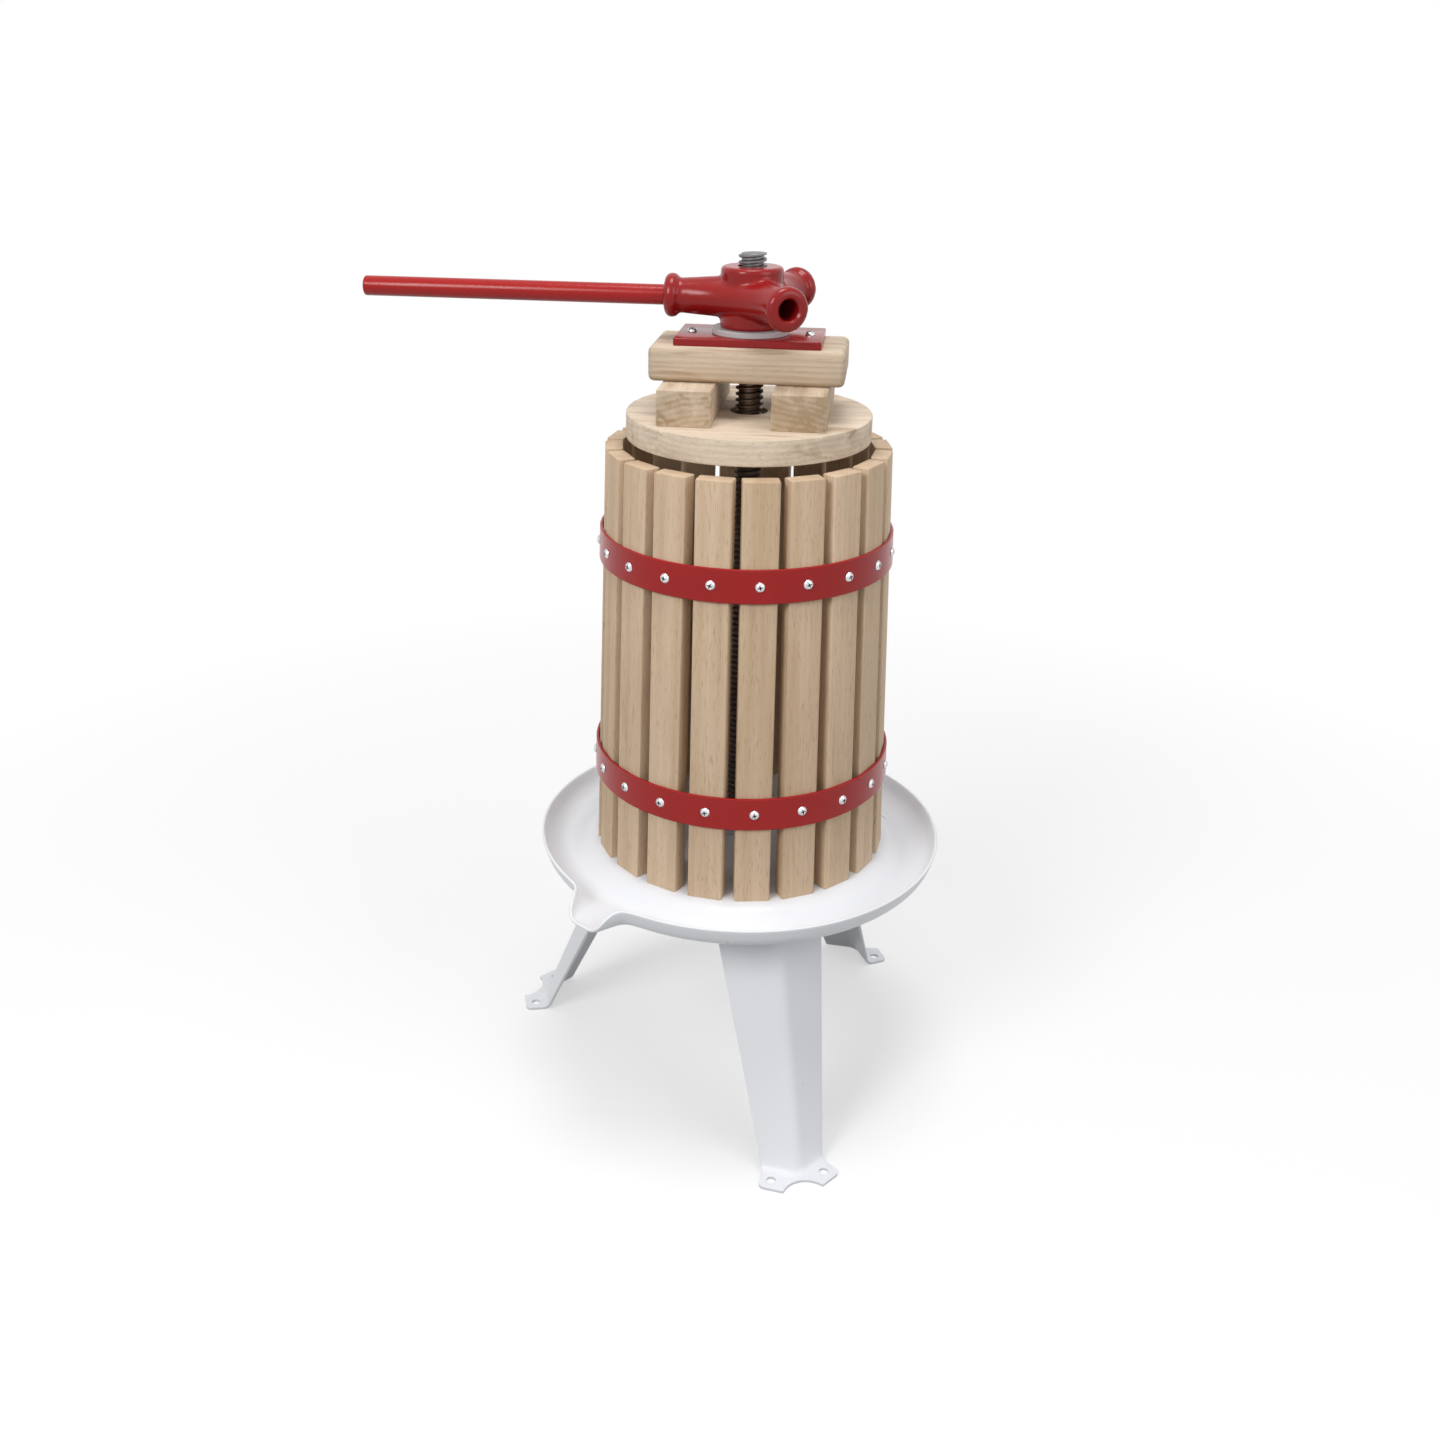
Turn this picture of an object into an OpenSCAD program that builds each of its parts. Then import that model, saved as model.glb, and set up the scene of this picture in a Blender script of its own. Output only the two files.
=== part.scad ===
// Hand-cranked basket press for fruit, standing on three pressed legs.
// Millimetres. The origin lies on the spindle's axis at the level of the feet, +Z up.
// An azimuth is counted from -Y, the side with the pouring spout, and grows towards +X.

/* [Slats] */
// Number of slats round the basket
slat_count = 20; // [12:1:22]
// Width of a slat
slat_w = 23; // [14:0.5:24]
// Thickness of a slat
slat_t = 11.5; // [8:0.5:13]
// Height of the slats
slat_h = 282; // [230:1:400]
// Chamfer along the edges of a slat
slat_edge = 1.2; // [0.5:0.1:3]
// Distance from the axis to a slat's outer face at its top
basket_top_r = 93.5; // [92:0.5:98]
// Distance from the axis to a slat's outer face at its foot
basket_foot_r = 100.5; // [98:0.5:104]
// Azimuth of the first slat
slat_turn = 11; // [0:1:18]

/* [Hoops] */
// Width of a hoop's band
hoop_w = 22; // [12:1:40]
// Thickness of a hoop's band
hoop_t = 2; // [1:0.25:4]
// Height of the lower hoop's middle above the slats' feet
hoop_low = 63.5; // [30:0.5:90]
// Height of the upper hoop's middle above the slats' feet
hoop_high = 217; // [150:0.5:218]
// Gap between a hoop and the slats' edges
hoop_fit = 0.1; // [0.05:0.05:0.3]

/* [Hoop screws] */
// Diameter of a hoop screw's domed head
screw_head_d = 6.4; // [5:0.1:10]
// Height of a hoop screw's domed head
screw_head_h = 2.4; // [1.5:0.1:3]
// Diameter of a wood screw's shank
screw_d = 3.4; // [2.5:0.1:4.5]
// Length of a hoop screw's shank
screw_l = 10; // [7:0.5:12]
// Gap round a screw's shank in its hole
screw_fit = 0.05; // [0.02:0.01:0.1]

/* [Pan] */
// Height of the pan's floor, on which the slats stand, above the ground
pan_seat = 178; // [140:1:220]
// Radius of the pan's rim
pan_r = 141; // [137:0.5:170]
// Height of the rim above the floor
pan_rim_h = 3; // [2:0.5:8]
// Depth of the juice gutter below the floor
pan_gutter = 12.5; // [9:0.5:15]
// Radius of the bend at the bottom of the gutter
pan_gutter_r = 13; // [9:0.5:15]
// Angle of the pan's wall above level
pan_wall_a = 72; // [60:1:80]
// Radius at which the level floor starts to fall
pan_flat_r = 98; // [94:0.5:104]
// Radius of the bend from the floor into the gutter
pan_bend_r = 18; // [10:1:20]
// Thickness of the pan's sheet
pan_t = 2; // [1.2:0.1:3]

/* [Spout] */
// Azimuth of the pouring spout
spout_turn = -34; // [-60:1:0]
// Reach of the spout beyond the rim
spout_reach = 23.5; // [16:0.5:30]
// Depth of the spout's bed below the gutter's floor
spout_drop = 0.6; // [0.3:0.1:1.2]
// Fall of the spout's lip, in degrees
spout_dip = 34; // [0:1:40]

/* [Legs] */
// Azimuth of the front leg
leg_turn = 22; // [0:1:40]
// Angle from the front leg to each of the back legs
leg_spread = 124; // [110:1:130]
// Distance from the axis to a leg's ridge at its top
leg_top_r = 87; // [82:0.5:94]
// Distance from the axis to a leg's ridge at the ground
leg_foot_r = 158; // [130:1:190]
// Fall of a leg's faces to either side of the ridge, in degrees
leg_face_a = 28; // [22:1:36]
// Width of each face of a leg at its top
leg_top_w = 46; // [40:0.5:52]
// Width of each face of a leg at the ground
leg_foot_w = 23.5; // [21:0.5:34]
// Thickness of a leg's sheet
leg_t = 2; // [1.2:0.1:3]
// Outer radius of the bend along a leg's ridge
leg_ridge_r = 12; // [6:0.5:16]
// Width of a foot's ears, square to the leg's faces
ear_w = 15.5; // [13:0.5:24]
// Radius of the outer corner of an ear
ear_corner_r = 4; // [2:0.5:6]
// Diameter of the hole in a foot's ear
ear_hole_d = 6.5; // [4:0.1:8]
// Distance of an ear's hole from the middle of the foot
ear_hole_y = 18.3; // [16:0.1:20]
// Radius of the notch between a foot's ears
notch_r = 16.5; // [12:0.5:18]
// Width of foot left between the ridge and the notch
notch_land = 3; // [2:0.5:6]

/* [Leg bolts] */
// Diameter of a leg bolt
bolt_d = 6; // [4:0.5:8]
// Diameter of a leg bolt's domed head
bolt_head_d = 12; // [9:0.5:14]
// Height of a leg bolt's domed head
bolt_head_h = 3.4; // [2:0.1:5]
// Distance of the leg bolts from the axis, along the leg
bolt_x = 70; // [66:0.5:72]
// Distance of a leg bolt from the middle of its leg
bolt_y = 12; // [9:0.5:14]
// Width across the flats of a leg bolt's nut
nut_flats = 10; // [8:0.5:13]
// Height of a leg bolt's nut
nut_h = 5; // [3:0.1:8]
// Gap round a bolt in its hole
bolt_fit = 0.1; // [0.05:0.05:0.3]

/* [Spindle] */
// Outer diameter of the spindle's thread
spindle_d = 18; // [14:0.5:19]
// Length of the spindle standing above the head
spindle_above = 8; // [2:0.5:30]
// Chamfer at the spindle's ends
spindle_chamfer = 1.5; // [0.5:0.1:3]
// Radial gap of the spindle in the pan and its nuts
spindle_fit = 0.1; // [0.05:0.01:0.3]
// Diameter of the washer under the pan
base_washer_d = 60; // [45:1:80]
// Thickness of the washer under the pan
base_washer_t = 5; // [3:0.5:8]
// Width across the flats of the spindle's nuts
spindle_nut_flats = 27; // [26:0.5:32]
// Height of the nut under the pan
base_nut_h = 14; // [8:0.5:20]
// Height of the lock nut on the pan's floor
lock_nut_h = 8; // [5:0.5:14]
// Length of the spindle below its lower nut
spindle_below = 4; // [1:0.5:10]

/* [Press disc] */
// Thickness of the disc
disc_t = 17; // [12:0.5:25]
// Gap between the disc and the slats at the basket's mouth
disc_gap = 2; // [1.5:0.1:4]
// Diameter of the hole for the spindle
disc_hole_d = 25; // [21:0.5:30]
// Chamfer round the disc's rim
disc_edge = 1.2; // [0.5:0.1:3]
// Height of the disc's underside above the slats' tops
disc_lift = 5.5; // [2:0.5:20]

/* [Blocks] */
// Width of a block
block_w = 34; // [25:0.5:40]
// Height of a block
block_h = 23; // [15:0.5:40]
// Length of a block
block_l = 109; // [80:1:112]
// Gap between the two blocks
block_gap = 37.5; // [30:0.5:42]
// Rounding of a block's long edges
block_edge = 1.5; // [0.5:0.1:4]

/* [Beam] */
// Length of the beam
beam_l = 124; // [118:1:140]
// Width of the beam
beam_w = 62; // [58:1:72]
// Height of the beam
beam_h = 22.5; // [18:0.5:35]
// Rounding of the beam's edges
beam_edge = 4; // [1:0.5:6]
// Diameter of the beam's hole for the spindle
beam_hole_d = 24; // [21:0.5:30]

/* [Base plate] */
// Length of the steel plate on the beam
plate_l = 93; // [88:1:106]
// Width of the plate
plate_w = 53; // [50:1:58]
// Thickness of the plate
plate_t = 5.2; // [3:0.1:8]
// Radius of the plate's corners
plate_corner_r = 3; // [1:0.5:6]
// Diameter of the plate's hole for the spindle
plate_hole_d = 22; // [20:0.5:26]
// Distance between the plate's two screws
plate_screw_gap = 75.5; // [70:0.5:79]
// Diameter of a plate screw's head
plate_screw_head_d = 6.6; // [5.5:0.1:9]
// Height of a plate screw's head
plate_screw_head_h = 2.6; // [2:0.1:3.5]
// Length of a plate screw's shank
plate_screw_l = 18; // [12:0.5:20]
// Diameter of the thrust washer
washer_d = 50; // [44:1:58]
// Thickness of the thrust washer
washer_t = 3.7; // [2:0.1:6]
// Diameter of the thrust washer's hole
washer_hole_d = 20; // [19.5:0.5:24]

/* [Head] */
// Diameter of the head's hub
hub_d = 40; // [36:0.5:48]
// Height of the hub
hub_h = 38.6; // [34:0.1:50]
// Chamfer round the hub's top
hub_edge = 1.5; // [0.5:0.1:3]
// Thickness of the round web that runs from each arm to the next
web_d = 21.6; // [18:0.2:22]
// Distance from the spindle's axis to where a web leaves an arm
web_start = 50; // [47:0.5:53]
// Height of the sockets' axes above the hub's underside
socket_h = 18.8; // [17:0.2:22]
// Distance from the spindle's axis to a socket's mouth
arm_reach = 55.5; // [48:0.5:70]
// Diameter of an arm beside its collar
arm_d = 22; // [19:0.5:24]
// Diameter of an arm where it leaves the hub
arm_root_d = 26; // [24:0.5:28]
// Diameter of the collar round a socket's mouth
collar_d = 28; // [26:0.5:31]
// Width of the collar
collar_w = 9.2; // [7:0.2:14]
// Radius of the collar's rounded edges
collar_round = 4; // [2:0.2:4.4]
// Radial gap of the spindle in the head
head_fit = 0.05; // [0.02:0.01:0.1]

/* [Handle] */
// Diameter of the handle bar
handle_d = 13; // [10:0.5:14]
// Distance from the spindle's axis to the handle's end
handle_reach = 255; // [180:1:400]
// Radial gap of the handle in its socket
handle_fit = 0.08; // [0.02:0.01:0.1]
// Distance from the spindle's axis to the bottom of a socket
socket_floor = 15; // [12.5:0.5:20]
// Gap between the handle's inner end and the socket's floor
handle_end_gap = 0.3; // [0.1:0.1:2]
// Chamfer at the handle's ends
handle_chamfer = 1; // [0.3:0.1:2]

/* [Hidden] */
$fn = 64;
// Overshoot of a cutting solid past the face that it cuts
cut = 1;

// Lean of the slats towards the axis, in degrees
lean = atan((basket_foot_r - basket_top_r) / slat_h);
slat_top = pan_seat + slat_h;
slat_pitch = 360 / slat_count;

// The stack that the head pushes down, from the disc up
disc_z = slat_top + disc_lift;
block_z = disc_z + disc_t;
beam_z = block_z + block_h;
plate_z = beam_z + beam_h;
washer_z = plate_z + plate_t;
hub_z = washer_z + washer_t;
hub_top = hub_z + hub_h;
socket_z = hub_z + socket_h;
disc_r = basket_top_r - slat_t / cos(lean) - disc_gap;
spindle_r = spindle_d / 2;

// The pan's section: a level floor, a convex bend, a fall into the gutter and a steep wall
pan_under = pan_seat - pan_t;
rim_z = pan_seat + pan_rim_h;
gutter_z = pan_seat - pan_gutter + pan_gutter_r;
wall_foot_z = gutter_z - (pan_gutter_r + pan_t) * cos(pan_wall_a);
gutter_x = pan_r - (rim_z - wall_foot_z) / tan(pan_wall_a) - (pan_gutter_r + pan_t) * sin(pan_wall_a);
bend_c = [pan_flat_r, pan_seat - pan_bend_r];
gutter_c = [gutter_x, gutter_z];
bend_to_gutter = gutter_c - bend_c;
fall_a = atan2(bend_to_gutter[0], bend_to_gutter[1])
    - acos((pan_bend_r + pan_gutter_r) / norm(bend_to_gutter));
spout_inner_r = pan_rim_h + pan_gutter + spout_drop;
spout_end = pan_r + spout_reach - spout_inner_r - pan_t;

// A leg is two faces that fall away from a rounded ridge, which leans outwards
leg_angles = [leg_turn, leg_turn - leg_spread, leg_turn + leg_spread];
leg_tilt = atan((leg_foot_r - leg_top_r) / pan_under);
ridge_l = pan_under / cos(leg_tilt);
face_side = [-sin(leg_face_a), cos(leg_face_a)];
face_in = [-cos(leg_face_a), -sin(leg_face_a)];

// The bend at a foot runs back from the ridge by this much for each unit sideways
bend_slope = tan(leg_face_a) / cos(leg_tilt);
bend_a = atan(bend_slope);
bend_end_y = leg_foot_w * cos(leg_face_a);
ear_out = ear_w / cos(bend_a);

// The head's three arms, and the webs between them
arm_spread = 120;
arm_angles = [-90, -90 + arm_spread, -90 + 2 * arm_spread];
arm_start = 0.35 * hub_d;
web_sweep = 180 - arm_spread;

// The spindle's fixing under the pan
base_nut_z = pan_under - base_washer_t - base_nut_h;
spindle_z = base_nut_z - spindle_below;
spindle_top = hub_top + spindle_above;

slat_names = [for (i = [1 : slat_count]) str("slat_", i < 10 ? "0" : "", i)];

// Points along an arc round a centre
function arc(c, r, a0, a1, n = 8) =
    [for (i = [0 : n]) let (a = a0 + (a1 - a0) * i / n) c + r * [cos(a), sin(a)]];

// A rectangle with round corners, centred on the origin
module soft_rect(w, h, r) {
    square([w - 2 * r, h], center = true);
    square([w, h - 2 * r], center = true);
    for (x = [-1, 1], y = [-1, 1])
        translate([x * (w / 2 - r), y * (h / 2 - r)]) circle(r);
}

// A domed screw head that stands on the plane z = 0
module dome(d, h) {
    ball_r = (d * d / 4 + h * h) / (2 * h);
    intersection() {
        translate([0, 0, h - ball_r]) sphere(ball_r);
        cylinder(d = d, h = h);
    }
}

// A hexagonal nut that stands on the plane z = 0
module hex_nut(flats, h, hole_r) {
    difference() {
        cylinder(d = flats / cos(30), h = h, $fn = 6);
        translate([0, 0, -cut]) cylinder(r = hole_r, h = h + 2 * cut);
    }
}

// Turns a shape that points along +X to an azimuth
module at_azimuth(a) {
    rotate([0, 0, a - 90]) children();
}

// Distance from the axis to a slat's outer face, at a height above its foot
function face_r(h) = basket_foot_r - h * tan(lean);

// Inner radius of a hoop, which bears on the slats' edges
function hoop_r(h) = norm([face_r(h), slat_w / 2 - slat_edge]) + hoop_fit;

// Places a shape on the outer face of slat number i, with +Z square to the face
module on_slat(i, h) {
    rotate([0, 0, slat_turn + i * slat_pitch])
        translate([0, -face_r(h), pan_seat + h]) rotate([90 - lean, 0, 0]) children();
}

// One slat: a chamfered board that leans inwards, cut level at both ends
module slat(i) {
    long = slat_h + 2 * slat_t;
    half = slat_w / 2;
    color("burlywood") difference() {
        rotate([0, 0, slat_turn + i * slat_pitch]) intersection() {
            translate([0, -basket_foot_r, pan_seat]) rotate([-lean, 0, 0])
                translate([0, 0, -slat_t]) linear_extrude(long) polygon([
                    [-half + slat_edge, 0], [half - slat_edge, 0], [half, slat_edge],
                    [half, slat_t - slat_edge], [half - slat_edge, slat_t],
                    [-half + slat_edge, slat_t], [-half, slat_t - slat_edge], [-half, slat_edge]]);
            rotate([90, 0, 90]) linear_extrude(2 * slat_w, center = true) polygon([
                [-basket_foot_r - slat_t, pan_seat], [-basket_top_r + 2 * slat_t, pan_seat],
                [-basket_top_r + 2 * slat_t, slat_top], [-basket_top_r + slat_edge, slat_top],
                [-basket_top_r - slat_t, slat_top - slat_edge - slat_t],
                [-basket_foot_r - slat_t, slat_top - slat_edge - slat_t]]);
        }
        for (h = [hoop_low, hoop_high])
            on_slat(i, h) translate([0, 0, -screw_l])
                cylinder(d = screw_d + 2 * screw_fit, h = screw_l + cut);
    }
}

// One hoop: a band rolled to the basket's taper and drilled once for each slat
module hoop(h) {
    rise = hoop_w / 2 * cos(lean);
    wall = hoop_t / cos(lean);
    spread = rise * tan(lean);
    color("firebrick") difference() {
        translate([0, 0, pan_seat + h]) rotate_extrude() polygon([
            [hoop_r(h) + spread, -rise], [hoop_r(h) + spread + wall, -rise],
            [hoop_r(h) - spread + wall, rise], [hoop_r(h) - spread, rise]]);
        for (i = [0 : slat_count - 1])
            on_slat(i, h) cylinder(d = screw_d + 2 * screw_fit, h = 4 * hoop_t + screw_head_h);
    }
}

// One screw in each slat, with its head seated on the hoop
module hoop_screws(h) {
    seat = (hoop_r(h) - face_r(h)) * cos(lean) + hoop_t + screw_fit;
    shank_l = min(screw_l, slat_t) - screw_fit + seat;
    color("silver") for (i = [0 : slat_count - 1])
        on_slat(i, h) translate([0, 0, seat]) {
            dome(screw_head_d, screw_head_h);
            translate([0, 0, -shank_l]) cylinder(d = screw_d, h = shank_l + screw_head_h / 2);
        }
}

// The pan's upper surface, or the one a distance below it, from the floor to the rim
function pan_surface(below) = let (
        wall = arc(gutter_c, pan_gutter_r + below, 270 - fall_a, 270 + pan_wall_a),
        top = wall[len(wall) - 1])
    concat([[0, pan_seat - below]],
        arc(bend_c, pan_bend_r - below, 90, 90 - fall_a),
        wall,
        [[top[0] + (rim_z - top[1]) / tan(pan_wall_a), rim_z]]);

// A round-ended trough along +X, with its middle at the rim's level
module trough(r) {
    translate([gutter_x, 0, rim_z]) rotate([0, 90, 0]) rotate_extrude() polygon(concat(
        [[0, 0], [r, 0]],
        arc([0, spout_end - gutter_x], r, 0, 90, 8)));
}

// The enamelled pan: a raised floor, a gutter for the juice and a pouring spout
module pan() {
    inside = pan_surface(0);
    mouth = inside[len(inside) - 1];
    far = 2 * spout_reach;
    color("white") difference() {
        union() {
            rotate_extrude() polygon(concat(pan_surface(pan_t), [[0, rim_z]]));
            at_azimuth(spout_turn) trough(spout_inner_r + pan_t);
        }
        rotate_extrude() polygon(concat(inside, [mouth + [0, far], [0, rim_z + far]]));
        at_azimuth(spout_turn) {
            trough(spout_inner_r);
            translate([0, -far, rim_z]) cube([2 * pan_r, 2 * far, far]);
            translate([pan_r, -far, rim_z]) rotate([0, spout_dip, 0]) cube([2 * far, 2 * far, far]);
        }
        translate([0, 0, spindle_z]) cylinder(r = spindle_r + spindle_fit, h = pan_seat);
        for (a = leg_angles, y = [-bolt_y, bolt_y])
            at_azimuth(a) translate([bolt_x, y, pan_under - cut])
                cylinder(d = bolt_d + 2 * bolt_fit, h = pan_t + 2 * cut);
    }
}

// Section of a leg square to its ridge: two faces and the bend between them
function leg_section(w) = let (
        edge = w * face_side,
        back = edge + leg_t * face_in,
        ridge_c = [-leg_ridge_r / cos(leg_face_a), 0])
    concat(
        [edge], arc(ridge_c, leg_ridge_r, leg_face_a, -leg_face_a, 6),
        [[edge[0], -edge[1]], [back[0], -back[1]]],
        arc(ridge_c, leg_ridge_r - leg_t, -leg_face_a, leg_face_a, 6), [back]);

// The two faces of a leg, narrowing towards the foot
module leg_faces() {
    over = leg_top_w;
    grow = (leg_top_w - leg_foot_w) / ridge_l;
    wide = 2 * leg_top_w;
    translate([leg_foot_r, 0, 0]) rotate([0, -leg_tilt, 0]) difference() {
        translate([0, 0, -over]) linear_extrude(ridge_l + 2 * over) polygon(leg_section(wide));
        for (side = [-1, 1])
            rotate([0, 0, side * (90 + leg_face_a)]) rotate([90, 0, 0])
                linear_extrude(4 * leg_t, center = true) polygon([
                    [leg_foot_w - grow * 2 * over, -2 * over], [2 * wide, -2 * over],
                    [2 * wide, ridge_l + 2 * over], [leg_top_w + grow * 2 * over, ridge_l + 2 * over]]);
    }
}

// The foot's two ears, bent outwards from the faces, with a notch at the ridge
module leg_ears() {
    out = [cos(bend_a), sin(bend_a)];
    along = [-sin(bend_a), cos(bend_a)];
    bend_end = [leg_foot_r - bend_end_y * bend_slope, bend_end_y];
    behind = [leg_t / cos(leg_face_a), 0];
    corner = bend_end + (ear_w - ear_corner_r) * out - ear_corner_r * along;
    half = concat(
        [[leg_foot_r, 0] - behind, bend_end - behind, bend_end],
        arc(corner, ear_corner_r, 90 + bend_a, bend_a, 6), [[leg_foot_r + ear_out, 0]]);
    linear_extrude(leg_t) difference() {
        for (side = [0, 1])
            mirror([0, side]) polygon(half);
        translate([leg_foot_r + notch_land + notch_r, 0]) circle(notch_r);
        for (y = [-ear_hole_y, ear_hole_y])
            translate([leg_foot_r + ear_out / 2 - abs(y) * bend_slope, y]) circle(d = ear_hole_d);
    }
}

// The plate that closes the top of a leg under the pan, with two bolt holes
module leg_plate() {
    tip_x = leg_top_r - leg_ridge_r * (1 / cos(leg_face_a) - 1) - leg_t / 2;
    back_y = leg_top_w * cos(leg_face_a) - leg_t;
    back_x = tip_x - back_y * bend_slope;
    translate([0, 0, pan_under - leg_t]) linear_extrude(leg_t) difference() {
        polygon([[tip_x, 0], [back_x, back_y], [back_x, -back_y]]);
        for (y = [-bolt_y, bolt_y])
            translate([bolt_x, y]) circle(d = bolt_d + 2 * bolt_fit);
    }
}

// One pressed-steel leg
module leg(a) {
    span = leg_foot_r + leg_top_w;
    color("white") at_azimuth(a) {
        intersection() {
            leg_faces();
            translate([0, -span, 0]) cube([span, 2 * span, pan_under]);
        }
        leg_ears();
        leg_plate();
    }
}

// Two bolts for each leg, with their heads on the pan's floor inside the basket
module leg_bolts() {
    grip = pan_t + leg_t + nut_h + bolt_d / 3;
    color("silver") for (a = leg_angles, y = [-bolt_y, bolt_y])
        at_azimuth(a) translate([bolt_x, y, pan_seat]) {
            dome(bolt_head_d, bolt_head_h);
            translate([0, 0, -grip]) cylinder(d = bolt_d, h = grip + bolt_head_h / 2);
        }
}

// The nuts of the leg bolts
module leg_nuts() {
    color("silver") for (a = leg_angles, y = [-bolt_y, bolt_y])
        at_azimuth(a) translate([bolt_x, y, pan_under - leg_t - nut_h])
            hex_nut(nut_flats, nut_h, bolt_d / 2 + bolt_fit / 2);
}

// The fixed spindle, drawn at the outside of its thread
module spindle() {
    body_l = spindle_top - spindle_z - 2 * spindle_chamfer;
    color("dimgray") translate([0, 0, spindle_z]) {
        cylinder(r1 = spindle_r - spindle_chamfer, r2 = spindle_r, h = spindle_chamfer);
        translate([0, 0, spindle_chamfer]) cylinder(r = spindle_r, h = body_l);
        translate([0, 0, spindle_chamfer + body_l])
            cylinder(r1 = spindle_r, r2 = spindle_r - spindle_chamfer, h = spindle_chamfer);
    }
}

// The broad washer that spreads the spindle's pull under the pan
module base_washer() {
    color("silver") translate([0, 0, pan_under - base_washer_t]) difference() {
        cylinder(d = base_washer_d, h = base_washer_t);
        translate([0, 0, -cut]) cylinder(r = spindle_r + spindle_fit, h = base_washer_t + 2 * cut);
    }
}

// The nut that holds the spindle down
module base_nut() {
    color("silver") translate([0, 0, base_nut_z])
        hex_nut(spindle_nut_flats, base_nut_h, spindle_r + spindle_fit);
}

// The nut that locks the spindle on the pan's floor
module lock_nut() {
    color("silver") translate([0, 0, pan_seat])
        hex_nut(spindle_nut_flats, lock_nut_h, spindle_r + spindle_fit);
}

// Half of the split press disc, the back one before it is turned
module disc_half(turn) {
    color("wheat") translate([0, 0, disc_z]) rotate([0, 0, turn]) rotate_extrude(angle = 180)
        polygon([
            [disc_hole_d / 2, 0], [disc_r - disc_edge, 0], [disc_r, disc_edge],
            [disc_r, disc_t - disc_edge], [disc_r - disc_edge, disc_t], [disc_hole_d / 2, disc_t]]);
}

// A block that stands across the disc's seam and carries one end of the beam
module block(side) {
    color("tan") translate([side * (block_gap + block_w) / 2, 0, block_z + block_h / 2])
        rotate([90, 0, 0]) linear_extrude(block_l, center = true)
            soft_rect(block_w, block_h, block_edge);
}

// Places a shape at each of the base plate's screws, on the plate
module at_plate_screws() {
    for (x = [-plate_screw_gap / 2, plate_screw_gap / 2])
        translate([x, 0, washer_z]) children();
}

// The beam, with rounded edges and ends
module beam() {
    color("tan") difference() {
        intersection() {
            translate([0, 0, beam_z + beam_h / 2]) rotate([90, 0, 90])
                linear_extrude(beam_l, center = true) soft_rect(beam_w, beam_h, beam_edge);
            translate([0, 0, beam_z - cut]) linear_extrude(beam_h + 2 * cut)
                soft_rect(beam_l, beam_w, beam_edge);
        }
        translate([0, 0, beam_z - cut]) cylinder(d = beam_hole_d, h = beam_h + 2 * cut);
        at_plate_screws() translate([0, 0, -plate_screw_l - screw_fit])
            cylinder(d = screw_d + 2 * screw_fit, h = plate_screw_l);
    }
}

// The steel plate that takes the head's thrust on the beam
module base_plate() {
    color("firebrick") difference() {
        translate([0, 0, plate_z]) linear_extrude(plate_t) soft_rect(plate_l, plate_w, plate_corner_r);
        translate([0, 0, plate_z - cut]) cylinder(d = plate_hole_d, h = plate_t + 2 * cut);
        at_plate_screws() translate([0, 0, -plate_t - cut])
            cylinder(d = screw_d + 2 * screw_fit, h = plate_t + 2 * cut);
    }
}

// The two screws that hold the plate on the beam
module plate_screws() {
    color("silver") at_plate_screws() {
        dome(plate_screw_head_d, plate_screw_head_h);
        translate([0, 0, -plate_screw_l]) cylinder(d = screw_d, h = plate_screw_l + plate_screw_head_h / 2);
    }
}

// The washer on which the head turns
module thrust_washer() {
    color("lightgray") translate([0, 0, washer_z]) difference() {
        cylinder(d = washer_d, h = washer_t);
        translate([0, 0, -cut]) cylinder(d = washer_hole_d, h = washer_t + 2 * cut);
    }
}

// One arm of the head along +X: a taper that ends in a rounded collar
module arm() {
    collar_x = arm_reach - collar_w;
    rotate([0, 90, 0]) rotate_extrude() polygon(concat(
        [[0, arm_start], [arm_root_d / 2, arm_start], [arm_d / 2, collar_x]],
        arc([collar_d / 2 - collar_round, collar_x + collar_round], collar_round, -45, 0, 6),
        arc([collar_d / 2 - collar_round, arm_reach - collar_round], collar_round, 0, 90, 8),
        [[0, arm_reach]]));
}

// The round web from the arm at azimuth a to the next: an arc that leaves each along its axis
module web(a) {
    translate([0, 0, socket_h]) at_azimuth(a + arm_spread / 2)
        translate([web_start / cos(arm_spread / 2), 0, 0]) rotate([0, 0, 180 - web_sweep / 2])
            rotate_extrude(angle = web_sweep)
                translate([web_start * tan(arm_spread / 2), 0]) circle(d = web_d);
}

// The hub with its three arms
module hub_and_arms() {
    rotate_extrude() polygon([
        [0, 0], [hub_d / 2, 0], [hub_d / 2, hub_h - hub_edge], [hub_d / 2 - hub_edge, hub_h], [0, hub_h]]);
    for (a = arm_angles)
        translate([0, 0, socket_h]) at_azimuth(a) arm();
}

// The cast head: the webs join one after another, then the bores for the spindle and the handle are cut
module head_hub() {
    color("firebrick") translate([0, 0, hub_z]) difference() {
        union() {
            union() {
                union() {
                    hub_and_arms();
                    web(arm_angles[0]);
                }
                web(arm_angles[1]);
            }
            web(arm_angles[2]);
        }
        translate([0, 0, -cut]) cylinder(r = spindle_r + head_fit, h = hub_h + 2 * cut);
        for (a = arm_angles)
            translate([0, 0, socket_h]) at_azimuth(a) translate([socket_floor, 0, 0]) rotate([0, 90, 0])
                cylinder(d = handle_d + 2 * handle_fit, h = arm_reach);
    }
}

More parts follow.
